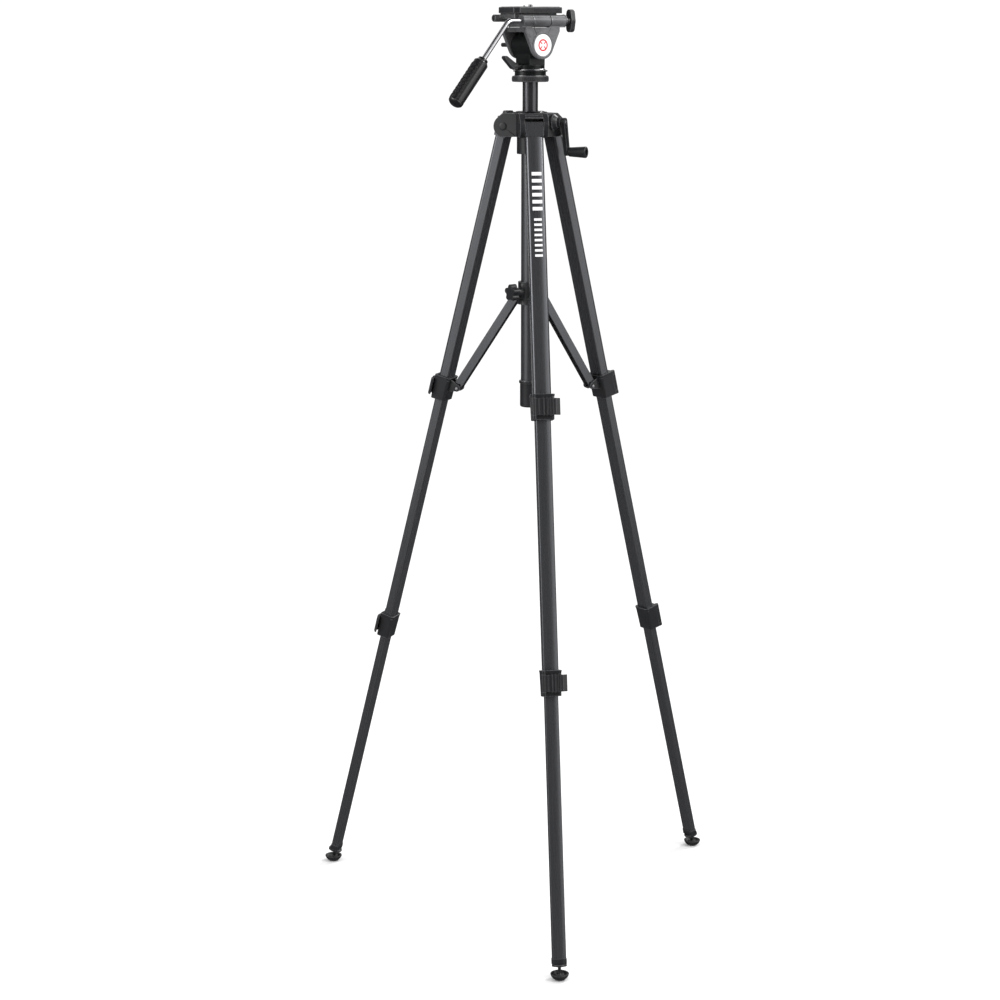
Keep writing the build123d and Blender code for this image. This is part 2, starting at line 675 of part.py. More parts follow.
def make_foot_pad(name, azimuth):
    """Rubber cup that turns on the ball and stands level on the ground."""
    upright_plane = upright(azimuth)
    ball_gap = BALL_R + SLIDE_GAP / 2
    cone_r = PAD_HEIGHT * sin(radians(NECK_CONE))
    cone_height = PAD_HEIGHT * cos(radians(NECK_CONE))
    dish_height = PAD_HEIGHT - PAD_DISH_DEPTH
    boss_height = PAD_HEIGHT - PAD_BOSS_DROP
    with BuildPart() as pad:
        with BuildSketch(upright_plane):
            with BuildLine():
                Polyline((foot_r, PAD_DISH_DEPTH), (foot_r, 0), (foot_r + pad_sole_r, 0))
                ThreePointArc(
                    (foot_r + pad_sole_r, 0),
                    (foot_r + PAD_WAIST_R, PAD_WAIST_Z),
                    (foot_r + PAD_R, PAD_HEIGHT - PAD_BRIM),
                )
                Polyline(
                    (foot_r + PAD_R, PAD_HEIGHT - PAD_BRIM),
                    (foot_r + PAD_R, PAD_HEIGHT),
                    (foot_r + PAD_R - PAD_WALL, PAD_HEIGHT),
                    (foot_r + PAD_BOSS_R + PAD_BOSS_FLARE, dish_height),
                    (foot_r + PAD_BOSS_R, boss_height),
                    (foot_r, boss_height),
                    (foot_r, PAD_DISH_DEPTH),
                )
            make_face()
        revolve(axis=Axis(upright_plane.from_local_coords((foot_r, 0, 0)), (0, 0, 1)))
        with Locations(Plane(upright_plane.from_local_coords((foot_r, BALL_Z, 0)))):
            Sphere(ball_gap, mode=Mode.SUBTRACT)
        with BuildSketch(upright_plane):
            with BuildLine():
                Polyline(
                    (foot_r, BALL_Z),
                    (foot_r + cone_r, BALL_Z + cone_height),
                    (foot_r, BALL_Z + PAD_HEIGHT),
                    close=True,
                )
            make_face()
        revolve(
            axis=Axis(upright_plane.from_local_coords((foot_r, 0, 0)), (0, 0, 1)),
            mode=Mode.SUBTRACT,
        )
    finish(pad, name)


def make_leg(letter, azimuth):
    """All the pieces of one leg."""
    leg = "leg_" + letter + "_"
    make_fitting(leg + "top_fitting", azimuth)
    make_tube(leg + "upper_tube", azimuth, 0, FITTING_END, upper_end)
    make_clamp(leg + "upper_clamp", azimuth, upper_clamp_width, UPPER_CLAMP_AT, 0, True)
    make_lever(leg + "upper_lever", azimuth, upper_clamp_width, UPPER_CLAMP_AT, 0)
    make_tube(leg + "middle_tube", azimuth, middle_inset, middle_top, middle_end)
    make_clamp(leg + "lower_clamp", azimuth, lower_clamp_width, LOWER_CLAMP_AT, middle_inset, False)
    make_lever(leg + "lower_lever", azimuth, lower_clamp_width, LOWER_CLAMP_AT, middle_inset)
    make_tube(leg + "lower_tube", azimuth, lower_inset, lower_top, lower_end)
    make_foot_plug(leg + "foot_plug", azimuth)
    make_foot_pad(leg + "foot_pad", azimuth)


for letter, azimuth in LEG_AZIMUTHS.items():
    make_leg(letter, azimuth)


# ---------------------------------------------------------------------------
# Crown
# ---------------------------------------------------------------------------

shaft_plane = facing(CRANK_AZIMUTH, 0, shaft_z, shaft_offset)
knuckle_gap_r = LEG_KNUCKLE_R + SIDE_GAP
slot_half = LEG_WIDTH / 2 + SIDE_GAP
cheek_half = slot_half + CHEEK_THICKNESS
guide_bore_r = guide_r - GUIDE_WALL
level_seat = Plane(upright(LEVEL_AZIMUTH).from_local_coords((LEVEL_AT_R, crown_top, 0)))

with BuildPart() as crown:
    with BuildSketch(level(crown_bottom)):
        Circle(crown_r)
    extrude(amount=crown_top - crown_bottom)
    with BuildSketch(level(sleeve_bottom)):
        Circle(sleeve_r)
    extrude(amount=crown_top - sleeve_bottom)
    for azimuth in LEG_AZIMUTHS.values():
        with BuildSketch(upright(azimuth)):
            with Locations((pivot_r, PIVOT_Z)):
                Circle(CHEEK_R)
            with Locations((crown_r / 2, (crown_top + crown_bottom) / 2)):
                Rectangle(crown_r / 2, crown_top - crown_bottom)
            with Locations((pivot_r, crown_top - CHEEK_CORNER / 2)):
                Rectangle(CHEEK_CORNER / 2, CHEEK_CORNER)
            make_hull()
        extrude(amount=cheek_half, both=True)
    with BuildSketch(level(crown_top - CROWN_RIM_HEIGHT)):
        Circle(crown_r + CROWN_RIM_OUT)
    extrude(amount=CROWN_RIM_HEIGHT)
    with BuildSketch(shaft_plane):
        Circle(HOUSING_R)
    extrude(amount=HOUSING_REACH - HOUSING_NOSE)
    with BuildSketch(shaft_plane.offset(HOUSING_REACH - HOUSING_NOSE)):
        Circle(HOUSING_R)
    extrude(amount=HOUSING_NOSE, taper=HOUSING_NOSE_TAPER)
    with BuildSketch(shaft_plane):
        Circle(HOUSING_BOSS_R)
    extrude(amount=HOUSING_BOSS_REACH)
    with BuildSketch(facing(LOCK_AZIMUTH, 0, lock_z)):
        Circle(LOCK_BOSS_R)
    extrude(amount=lock_boss_reach)
    with BuildSketch(level_seat.offset(-LEVEL_SEAT_DEPTH)):
        Circle(LEVEL_SEAT_R)
    extrude(amount=LEVEL_SEAT_DEPTH + LEVEL_SEAT_PROUD)
    # Slots for the leg tops, open outward and downward: wide for the block, narrow for the tongue
    for azimuth in LEG_AZIMUTHS.values():
        with BuildSketch(upright(azimuth)):
            with BuildLine():
                Polyline(
                    (slot_inner_r, sleeve_bottom),
                    (slot_inner_r, PIVOT_Z - LEG_BLOCK_RISE / 2),
                    (pivot_r, web_underside),
                    (2 * pivot_r, web_underside),
                    (2 * pivot_r, sleeve_bottom),
                    close=True,
                )
            make_face()
        extrude(amount=slot_half, both=True, mode=Mode.SUBTRACT)
        with BuildSketch(upright(azimuth)):
            with Locations((pivot_r, PIVOT_Z)):
                Circle(knuckle_gap_r)
            with BuildLine():
                Polyline(
                    (pivot_r - knuckle_gap_r, PIVOT_Z),
                    (pivot_r - knuckle_gap_r, sleeve_bottom),
                    (2 * pivot_r, sleeve_bottom),
                    (2 * pivot_r, PIVOT_Z),
                    close=True,
                )
            make_face()
        extrude(amount=LEG_TONGUE_WIDTH / 2 + SIDE_GAP, both=True, mode=Mode.SUBTRACT)
        with BuildSketch(upright(azimuth)):
            with Locations((pivot_r, PIVOT_Z)):
                Circle(HINGE_PIN_R)
        extrude(amount=cheek_half, both=True, mode=Mode.SUBTRACT)
    # Bores for the guide tube, the column and its bush
    with BuildSketch(level(sleeve_bottom)):
        Circle(guide_r)
    extrude(amount=guide_top - sleeve_bottom, mode=Mode.SUBTRACT)
    with BuildSketch(level(guide_top)):
        Circle(guide_bore_r)
    extrude(amount=crown_top - guide_top, mode=Mode.SUBTRACT)
    with BuildSketch(level(crown_top - BUSH_DEPTH)):
        Circle(bush_r)
    extrude(amount=BUSH_DEPTH, mode=Mode.SUBTRACT)
    # Pocket for the pinion and the bore for its shaft
    with BuildSketch(shaft_plane):
        Circle(pinion_r + TOOTH_HEIGHT + PINION_ROOM)
    extrude(amount=PINION_FACE / 2 + SLIDE_GAP, both=True, mode=Mode.SUBTRACT)
    with BuildSketch(shaft_plane.offset(-SHAFT_BACK)):
        Circle(SHAFT_R + PIN_GAP)
    extrude(amount=SHAFT_BACK + HOUSING_BOSS_REACH, mode=Mode.SUBTRACT)
    # Thread for the column lock and the seat for the bubble level
    with BuildSketch(facing(LOCK_AZIMUTH, guide_r, lock_z)):
        Circle(LOCK_SCREW_R + PIN_GAP)
    extrude(amount=lock_boss_reach, mode=Mode.SUBTRACT)
    with BuildSketch(level_seat.offset(LEVEL_SEAT_PROUD - LEVEL_DEPTH)):
        Circle(LEVEL_R)
    extrude(amount=LEVEL_DEPTH, mode=Mode.SUBTRACT)
finish(crown, "crown")

with BuildPart() as hinge_pins:
    for azimuth in LEG_AZIMUTHS.values():
        with BuildSketch(upright(azimuth)):
            with Locations((pivot_r, PIVOT_Z)):
                Circle(HINGE_PIN_R)
        extrude(amount=cheek_half, both=True)
finish(hinge_pins, "leg_hinge_pins")

with BuildPart() as bubble_level:
    with BuildSketch(level_seat.offset(LEVEL_SEAT_PROUD - LEVEL_DEPTH)):
        Circle(LEVEL_R)
    extrude(amount=LEVEL_DEPTH + LEVEL_DOME)
finish(bubble_level, "bubble_level")

with BuildPart() as bush:
    with BuildSketch(level(crown_top - BUSH_DEPTH)):
        Circle(bush_r)
    extrude(amount=BUSH_DEPTH)
    with BuildSketch(level(crown_top)):
        Circle(bush_flange_r)
    extrude(amount=BUSH_PROUD, taper=BUSH_TAPER)
    with BuildSketch(level(crown_top - BUSH_DEPTH)):
        Circle(COLUMN_R + BUSH_GAP)
    extrude(amount=BUSH_DEPTH + BUSH_PROUD, mode=Mode.SUBTRACT)
finish(bush, "column_bush")

with BuildPart() as guide_tube:
    with BuildSketch(level(guide_bottom)):
        Circle(guide_r)
        Circle(guide_bore_r, mode=Mode.SUBTRACT)
    extrude(amount=guide_top - guide_bottom)
finish(guide_tube, "guide_tube")

with BuildPart() as guide_cap:
    with BuildSketch(level(cap_bottom)):
        Circle(guide_r + CAP_WALL)
    extrude(amount=cap_top - cap_bottom)
    with BuildSketch(level(cap_top - CAP_FLANGE_HEIGHT)):
        Circle(guide_r + CAP_WALL + CAP_FLANGE_OUT)
    extrude(amount=CAP_FLANGE_HEIGHT)
    with BuildSketch(level(guide_bottom)):
        Circle(guide_r)
    extrude(amount=cap_top - guide_bottom, mode=Mode.SUBTRACT)
    with BuildSketch(level(cap_bottom + CAP_FLOOR)):
        Circle(guide_bore_r)
    extrude(amount=guide_bottom - cap_bottom - CAP_FLOOR, mode=Mode.SUBTRACT)
    fillet(guide_cap.edges().filter_by(GeomType.CIRCLE).sort_by(Axis.Z)[0], CAP_EDGE_R)
finish(guide_cap, "guide_tube_cap")


# ---------------------------------------------------------------------------
# Column and its gear
# ---------------------------------------------------------------------------

rack_azimuth = CRANK_AZIMUTH + 90
rack_tip = rack_pitch_line + TOOTH_HEIGHT
rack_root = rack_pitch_line - TOOTH_DEPTH
teeth_below = int((shaft_z - column_bottom - RACK_END) / gear_pitch)
rack_top = column_top - BASE_SPIGOT - SIDE_GAP
teeth_above = int((rack_top - shaft_z) / gear_pitch)

with BuildPart() as column:
    with BuildSketch(level(column_bottom)):
        Circle(COLUMN_R)
        Circle(COLUMN_R - COLUMN_WALL, mode=Mode.SUBTRACT)
    extrude(amount=column_top - column_bottom)
    # The rack strip fills one side of the bore, and its flat is cut into the flank
    with BuildSketch(level(column_bottom)):
        Circle(COLUMN_R)
        with Locations(outward(rack_azimuth) * (rack_root - RACK_BACKING - COLUMN_R)):
            Rectangle(2 * COLUMN_R, 4 * COLUMN_R, rotation=rack_azimuth, mode=Mode.SUBTRACT)
    extrude(amount=rack_top - column_bottom)
    with BuildSketch(level(column_bottom)):
        with Locations(outward(rack_azimuth) * (rack_tip + COLUMN_R)):
            Rectangle(2 * COLUMN_R, 4 * COLUMN_R, rotation=rack_azimuth)
    extrude(amount=rack_top - column_bottom, mode=Mode.SUBTRACT)
    with BuildSketch(facing(rack_azimuth, rack_root, shaft_z)):
        for tooth in range(-teeth_below, teeth_above):
            with Locations((0, tooth * gear_pitch)):
                Rectangle(2 * COLUMN_R, gear_pitch - TOOTH_THICKNESS)
    extrude(amount=COLUMN_R, mode=Mode.SUBTRACT)
finish(column, "centre_column")

with BuildPart() as pinion:
    with BuildSketch(shaft_plane.offset(-PINION_FACE / 2)):
        Circle(pinion_r - TOOTH_DEPTH)
        with PolarLocations(pinion_r - TOOTH_DEPTH / 2, PINION_TEETH):
            Rectangle(TOOTH_DEPTH + 2 * TOOTH_HEIGHT, TOOTH_THICKNESS)
    extrude(amount=PINION_FACE)
    with BuildSketch(shaft_plane.offset(-SHAFT_BACK)):
        Circle(SHAFT_R)
    extrude(amount=SHAFT_BACK + HOUSING_BOSS_REACH + CRANK_ARM_GAP + CRANK_ARM_THICKNESS)
finish(pinion, "elevator_pinion")

arm_plane = shaft_plane.offset(HOUSING_BOSS_REACH + CRANK_ARM_GAP)
arm_x = CRANK_ARM_LENGTH * cos(radians(CRANK_ANGLE))
arm_y = CRANK_ARM_LENGTH * sin(radians(CRANK_ANGLE))

with BuildPart() as crank_arm:
    with BuildSketch(arm_plane):
        Circle(CRANK_EYE_R)
        with Locations((arm_x, arm_y)):
            Circle(CRANK_ARM_R)
        make_hull()
    extrude(amount=CRANK_ARM_THICKNESS)
    with BuildSketch(arm_plane.offset(CRANK_ARM_THICKNESS)):
        with Locations((arm_x / 2, arm_y / 2)):
            SlotCenterToCenter(CRANK_GROOVE_LENGTH, CRANK_GROOVE_WIDTH, rotation=CRANK_ANGLE)
    extrude(amount=-CRANK_GROOVE, mode=Mode.SUBTRACT)
    with BuildSketch(arm_plane):
        Circle(SHAFT_R)
    extrude(amount=CRANK_ARM_THICKNESS, mode=Mode.SUBTRACT)
    with BuildSketch(arm_plane.offset(CRANK_ARM_THICKNESS)):
        with Locations((arm_x, arm_y)):
            Circle(CRANK_SPINDLE_R)
    extrude(amount=CRANK_KNOB_LENGTH - CRANK_SPINDLE_SHORT)
finish(crank_arm, "crank_arm")

knob_seat = arm_plane.from_local_coords((arm_x, arm_y, CRANK_ARM_THICKNESS + SIDE_GAP))
knob_plane = Plane(knob_seat, z_dir=arm_plane.z_dir)
with BuildPart() as crank_knob:
    with BuildSketch(knob_plane):
        Circle(CRANK_KNOB_R)
    with BuildSketch(knob_plane.offset(CRANK_KNOB_LENGTH)):
        Circle(CRANK_KNOB_END_R)
    loft()
    fillet(crank_knob.edges().filter_by(GeomType.CIRCLE), CRANK_KNOB_EDGE_R)
    with BuildSketch(knob_plane):
        Circle(CRANK_SPINDLE_R + PIN_GAP)
    extrude(amount=CRANK_KNOB_LENGTH, mode=Mode.SUBTRACT)
    with BuildSketch(knob_plane.offset(CRANK_KNOB_LENGTH - CRANK_SPINDLE_SHORT)):
        Circle(CRANK_RECESS_R)
    extrude(amount=CRANK_KNOB_LENGTH, mode=Mode.SUBTRACT)
finish(crank_knob, "crank_knob")

lock_plane = facing(LOCK_AZIMUTH, guide_r, lock_z)
with BuildPart() as column_lock:
    with BuildSketch(lock_plane.offset(lock_boss_reach - guide_r + SIDE_GAP)):
        Circle(LOCK_KNOB_R)
        with PolarLocations(LOCK_KNOB_R, LOCK_KNOB_FLUTES):
            Circle(LOCK_FLUTE_R, mode=Mode.SUBTRACT)
    extrude(amount=LOCK_KNOB_LENGTH)
    with BuildSketch(lock_plane.offset(SIDE_GAP)):
        Circle(LOCK_SCREW_R)
    extrude(amount=lock_boss_reach - guide_r)
finish(column_lock, "column_lock_knob")


# ---------------------------------------------------------------------------
# Mid-level brace
# ---------------------------------------------------------------------------

with BuildPart() as hub:
    with BuildSketch(level(hub_bottom)):
        Circle(hub_r)
    extrude(amount=hub_top - hub_bottom)
    with BuildSketch(level(hub_bottom)):
        Circle(hub_skirt_r)
    extrude(amount=HUB_SKIRT_HEIGHT, taper=HUB_SKIRT_TAPER)
    for azimuth in LEG_AZIMUTHS.values():
        with BuildSketch(upright(azimuth)):
            with Locations((hub_pivot_r, hub_pivot_z)):
                Circle(HUB_LUG_R)
            with Locations((hub_r, hub_pivot_z)):
                Circle(HUB_LUG_R)
            make_hull()
        extrude(amount=BRACE_WIDTH / 2 - BRACE_WALL - SIDE_GAP, both=True)
        with BuildSketch(upright(azimuth)):
            with Locations((hub_pivot_r, hub_pivot_z)):
                Circle(HUB_PIN_R)
        extrude(amount=BRACE_WIDTH / 2, both=True)
    with BuildSketch(facing(HUB_KNOB_AZIMUTH, 0, hub_knob_z)):
        Circle(HUB_BOSS_R)
    extrude(amount=hub_boss_reach)
    with BuildSketch(level(hub_bottom)):
        Circle(guide_r + SLIDE_GAP)
    extrude(amount=hub_top - hub_bottom, mode=Mode.SUBTRACT)
    with BuildSketch(facing(HUB_KNOB_AZIMUTH, guide_r, hub_knob_z)):
        Circle(HUB_SCREW_R + PIN_GAP)
    extrude(amount=hub_boss_reach, mode=Mode.SUBTRACT)
finish(hub, "brace_hub")

hub_knob_plane = facing(HUB_KNOB_AZIMUTH, hub_knob_face, hub_knob_z)
with BuildPart() as hub_knob:
    with BuildSketch(hub_knob_plane):
        Circle(HUB_KNOB_CORE_R)
        with PolarLocations(HUB_KNOB_R - HUB_KNOB_LOBE_R, HUB_KNOB_LOBES, start_angle=90):
            Circle(HUB_KNOB_LOBE_R)
    extrude(amount=HUB_KNOB_THICKNESS)
    knob_faces = hub_knob.faces().sort_by(Axis(hub_knob_plane.origin, hub_knob_plane.z_dir))
    fillet(knob_faces[-1].edges(), HUB_KNOB_EDGE_R)
    with BuildSketch(facing(HUB_KNOB_AZIMUTH, guide_r + SLIDE_GAP + SIDE_GAP, hub_knob_z)):
        Circle(HUB_SCREW_R)
    extrude(amount=hub_knob_face - guide_r)
finish(hub_knob, "brace_lock_knob")


def make_brace(letter, azimuth):
    """Channel strut from the hub to a leg, open on its lower side."""
    radial = upright(azimuth)
    pivot = radial.from_local_coords((hub_pivot_r, hub_pivot_z, 0))
    along = radial.from_local_coords((brace_pin_r, brace_pin_z, 0)) - pivot
    side = Plane(origin=pivot, x_dir=along, z_dir=radial.z_dir)
    with BuildPart() as brace:
        with BuildSketch(side):
            with Locations((0, BRACE_SHIFT), (brace_length + BRACE_END, BRACE_SHIFT)):
                Circle(BRACE_DEPTH / 2)
            make_hull()
        extrude(amount=BRACE_WIDTH / 2, both=True)
        with BuildSketch(side):
            with Locations((brace_length / 2, BRACE_SHIFT - BRACE_WALL)):
                Rectangle(brace_length + 2 * BRACE_DEPTH, BRACE_DEPTH)
        extrude(amount=BRACE_WIDTH / 2 - BRACE_WALL, both=True, mode=Mode.SUBTRACT)
        with BuildSketch(side):
            Circle(HUB_PIN_R + PIN_GAP)
            with Locations((brace_length - BRACE_SLOT, BRACE_SLOT_SHIFT)):
                Circle(BRACE_PIN_R + BRACE_SLOT_WIDEN / 2 + PIN_GAP)
            with Locations((brace_length + SIDE_GAP / 2, 0)):
                Circle(BRACE_PIN_R + BRACE_SLOT_WIDEN / 2 + PIN_GAP)
            with Locations((brace_length - BRACE_SLOT / 2, BRACE_SLOT_SHIFT)):
                Rectangle(BRACE_SLOT, 2 * BRACE_PIN_R + BRACE_SLOT_WIDEN)
        extrude(amount=BRACE_WIDTH, both=True, mode=Mode.SUBTRACT)
    finish(brace, "brace_" + letter)


for letter, azimuth in LEG_AZIMUTHS.items():
    make_brace(letter, azimuth)


# ---------------------------------------------------------------------------
# Head: pan and tilt
# ---------------------------------------------------------------------------

def across_head(forward, side, height):
    """Point in the head's own directions: forward, to the near side, up."""
    near = outward(HEAD_AZIMUTH - 90)
    return Vector(0, axis_y, height) + outward(HEAD_AZIMUTH) * forward + near * side


def head_side(side, forward=0.0, height=0.0):
    """Upright plane along the head: x forward, y up, z to the near side."""
    origin = across_head(forward, side, height)
    return Plane(origin=origin, x_dir=outward(HEAD_AZIMUTH), z_dir=outward(HEAD_AZIMUTH - 90))


def head_front(forward, side, height):
    """Upright plane that faces forward: x to the far side, y up."""
    origin = across_head(forward, side, height)
    return Plane(origin=origin, x_dir=outward(HEAD_AZIMUTH + 90), z_dir=outward(HEAD_AZIMUTH))


def head_level(height):
    """Level plane of the head: x forward, y to the far side."""
    return Plane(origin=(0, axis_y, height), x_dir=outward(HEAD_AZIMUTH), z_dir=(0, 0, 1))


base_top = column_top + BASE_HEIGHT
pan_bottom = base_top + PAN_GAP
tilt_axis_plane = head_side(0, 0, tilt_z)

with BuildPart() as pan_base:
    with BuildSketch(level(column_top)):
        Circle(base_r)
    extrude(amount=BASE_HEIGHT)
    with BuildSketch(level(column_top)):
        Circle(COLUMN_R - COLUMN_WALL)
    extrude(amount=-BASE_SPIGOT)
    with BuildSketch(level(column_top - BASE_SPIGOT / 2)):
        Circle(PAN_BOLT_R + PIN_GAP)
    extrude(amount=BASE_HEIGHT + BASE_SPIGOT, mode=Mode.SUBTRACT)
    rims = pan_base.edges().filter_by(GeomType.CIRCLE).filter_by(lambda rim: rim.radius > PAN_RING_R)
    chamfer(rims, BASE_CHAMFER)
finish(pan_base, "pan_base")

with BuildPart() as pan_body:
    with BuildSketch(level(pan_bottom)):
        Circle(PAN_RING_R)
    extrude(amount=PAN_RING_HEIGHT)
    with BuildSketch(level(pan_bottom)):
        Circle(PAN_NECK_R)
    extrude(amount=neck_top - pan_bottom)
    with BuildSketch(level(pan_bottom)):
        Circle(PAN_BOLT_R)
    extrude(amount=-BASE_HEIGHT)
    with BuildSketch(head_level(neck_top)):
        Rectangle(PEDESTAL_LENGTH, 2 * DRUM_HALF - PEDESTAL_INSET)
    extrude(amount=tilt_z - neck_top)
    with BuildSketch(tilt_axis_plane):
        Circle(DRUM_R)
    extrude(amount=DRUM_HALF, both=True)
    with BuildSketch(facing(HEAD_AZIMUTH + 180, 0, pan_lock_z)):
        Circle(PAN_LOCK_R)
    extrude(amount=pan_lock_reach)
    with BuildSketch(tilt_axis_plane):
        Circle(AXLE_R + PIN_GAP)
    extrude(amount=DRUM_HALF, both=True, mode=Mode.SUBTRACT)
    with BuildSketch(facing(HEAD_AZIMUTH + 180, PAN_BOLT_R, pan_lock_z)):
        Circle(PAN_SCREW_R + PIN_GAP)
    extrude(amount=pan_lock_reach, mode=Mode.SUBTRACT)
finish(pan_body, "pan_body")

paddle_plane = upright(HEAD_AZIMUTH + 180)
paddle_root = pan_lock_reach + SIDE_GAP
with BuildPart() as pan_lock:
    with BuildSketch(facing(HEAD_AZIMUTH + 180, PAN_BOLT_R + SIDE_GAP, pan_lock_z)):
        Circle(PAN_SCREW_R)
    extrude(amount=pan_lock_reach - PAN_BOLT_R)
    with BuildSketch(facing(HEAD_AZIMUTH + 180, paddle_root, pan_lock_z)):
        Circle(PAN_LOCK_R)
    extrude(amount=PADDLE_HUB_LENGTH)
    with BuildSketch(paddle_plane):
        with Locations((paddle_root + PADDLE_THICKNESS / 2, pan_lock_z)):
            Circle(PADDLE_THICKNESS / 2)
        with Locations((paddle_root + PADDLE_HUB_LENGTH, pan_lock_z)):
            Circle(PADDLE_THICKNESS / 2)
        with Locations((paddle_root + PADDLE_OUT, pan_lock_z + PADDLE_UP)):
            Circle(PADDLE_TIP_R)
        make_hull()
    extrude(amount=PADDLE_WIDTH / 2, both=True)
finish(pan_lock, "pan_lock_lever")

with BuildPart() as tilt_body:
    for side in (-1, 1):
        with BuildSketch(head_side(side * plate_inner, 0, 0)):
            with Locations((0, tilt_z)):
                Circle(PLATE_BOSS_R)
            with Locations((0, side_plate_top - PLATE_SHOULDER / 2)):
                Rectangle(PLATE_TOP_LENGTH, PLATE_SHOULDER)
            make_hull()
        extrude(amount=side * (plate_outer - plate_inner))
    with BuildSketch(head_side(0, 0, side_plate_top - BRIDGE_THICKNESS / 2)):
        Rectangle(PLATE_TOP_LENGTH - 2 * PLATE_SHOULDER, BRIDGE_THICKNESS)
    extrude(amount=plate_inner, both=True)
    # Outer knuckles of the flip hinge stand on the near plate
    for rear, front in ((BARREL_REAR, KNUCKLE_REAR), (KNUCKLE_FRONT, BARREL_FRONT)):
        with BuildSketch(head_front(rear, barrel_side, barrel_z)):
            Circle(BARREL_R)
            with Locations((0, (side_plate_top - barrel_z) / 2)):
                Rectangle(2 * (plate_outer - barrel_side), barrel_z - side_plate_top)
        extrude(amount=front - rear)
    with BuildSketch(head_front(BARREL_REAR, barrel_side, barrel_z)):
        Circle(ROD_R)
    extrude(amount=ROD_SEAT, mode=Mode.SUBTRACT)
    with BuildSketch(head_front(BARREL_REAR + ROD_SEAT, barrel_side, barrel_z)):
        Circle(FLIP_SHAFT_R + PIN_GAP)
    extrude(amount=BARREL_FRONT - BARREL_REAR, mode=Mode.SUBTRACT)
    with BuildSketch(tilt_axis_plane):
        Circle(AXLE_R)
    extrude(amount=plate_outer, both=True, mode=Mode.SUBTRACT)
    with BuildSketch(tilt_axis_plane.offset(plate_outer - BADGE_DEPTH)):
        Circle(BADGE_R)
    extrude(amount=BADGE_DEPTH, mode=Mode.SUBTRACT)
finish(tilt_body, "tilt_body")

with BuildPart() as tilt_axle:
    with BuildSketch(tilt_axis_plane.offset(-plate_outer)):
        Circle(AXLE_R)
    extrude(amount=2 * plate_outer - BADGE_DEPTH)
    with BuildSketch(tilt_axis_plane.offset(plate_outer - BADGE_DEPTH)):
        Circle(BADGE_R)
    extrude(amount=BADGE_DEPTH + BADGE_PROUD)
    with BuildSketch(tilt_axis_plane.offset(-plate_outer)):
        Circle(TILT_STUD_R)
    extrude(amount=-TILT_STUD_LENGTH)
finish(tilt_axle, "tilt_axle")

with BuildPart() as tilt_lock:
    with BuildSketch(tilt_axis_plane.offset(-plate_outer - SIDE_GAP)):
        Circle(TILT_COLLAR_R)
    extrude(amount=-TILT_COLLAR_LENGTH)
    with BuildSketch(tilt_axis_plane.offset(-plate_outer - SIDE_GAP)):
        Circle(TILT_STEM_R)
    extrude(amount=-TILT_STICK_LENGTH)
    with BuildSketch(tilt_axis_plane.offset(-plate_outer - TILT_STICK_LENGTH + TILT_TIP_LENGTH)):
        Circle(TILT_STICK_R)
    extrude(amount=-TILT_TIP_LENGTH)
    with BuildSketch(tilt_axis_plane.offset(-plate_outer)):
        Circle(TILT_STUD_R + PIN_GAP)
    extrude(amount=-TILT_STUD_LENGTH - SIDE_GAP, mode=Mode.SUBTRACT)
finish(tilt_lock, "tilt_lock_knob")


# ---------------------------------------------------------------------------
# Head: flip platform and quick release plate
# ---------------------------------------------------------------------------

platform_middle = (platform_near + platform_far) / 2
web_length = PLATFORM_INSET + PLATFORM_CORNER_R
release_side = RELEASE_THICKNESS / 2 + SIDE_GAP - platform_far

with BuildPart() as platform:
    with BuildSketch(head_level(platform_bottom)):
        with Locations((0, -platform_middle)):
            RectangleRounded(PLATFORM_LENGTH, PLATFORM_WIDTH, PLATFORM_CORNER_R)
        with Locations((RELEASE_AT, release_side)):
            Circle(RELEASE_EAR_R)
    extrude(amount=RELEASE_EAR_THICKNESS)
    with BuildSketch(head_level(platform_bottom)):
        with Locations((0, -platform_middle)):
            RectangleRounded(PLATFORM_LENGTH, PLATFORM_WIDTH, PLATFORM_CORNER_R)
    extrude(amount=PLATFORM_HEIGHT)
    with BuildSketch(head_level(side_plate_top + SIDE_GAP)):
        with Locations((0, PLATFORM_RIB_SHIFT)):
            Rectangle(PLATFORM_RIB_LENGTH, PLATFORM_RIB_WIDTH)
    extrude(amount=platform_bottom - side_plate_top - SIDE_GAP)
    with BuildSketch(head_front(KNUCKLE_REAR + KNUCKLE_GAP, barrel_side, barrel_z)):
        Circle(BARREL_R)
        with Locations((web_length / 2, platform_bottom - barrel_z + PLATFORM_WEB / 2)):
            Rectangle(web_length, PLATFORM_WEB)
    extrude(amount=KNUCKLE_FRONT - KNUCKLE_REAR - 2 * KNUCKLE_GAP)
    with BuildSketch(head_front(SOCKET_REACH, -SOCKET_SIDE, socket_z)):
        Circle(SOCKET_R)
    extrude(amount=SOCKET_LENGTH)
    with BuildSketch(head_front(SOCKET_REACH, -SOCKET_SIDE, socket_z)):
        Circle(ROD_R)
    extrude(amount=SOCKET_RECESS, mode=Mode.SUBTRACT)
    with BuildSketch(head_level(quick_bottom - TONGUE_DEPTH - TONGUE_GAP)):
        Rectangle(TONGUE_LENGTH + 2 * TONGUE_GAP, TONGUE_WIDTH + 2 * TONGUE_GAP)
    extrude(amount=PLATFORM_HEIGHT, mode=Mode.SUBTRACT)
    with BuildSketch(head_front(KNUCKLE_REAR, barrel_side, barrel_z)):
        Circle(FLIP_SHAFT_R + PIN_GAP)
    extrude(amount=BARREL_FRONT - BARREL_REAR, mode=Mode.SUBTRACT)
    with BuildSketch(head_level(platform_bottom)):
        with Locations((RELEASE_AT, release_side)):
            Circle(RELEASE_PIN_R + PIN_GAP)
    extrude(amount=RELEASE_EAR_THICKNESS, mode=Mode.SUBTRACT)
finish(platform, "flip_platform")

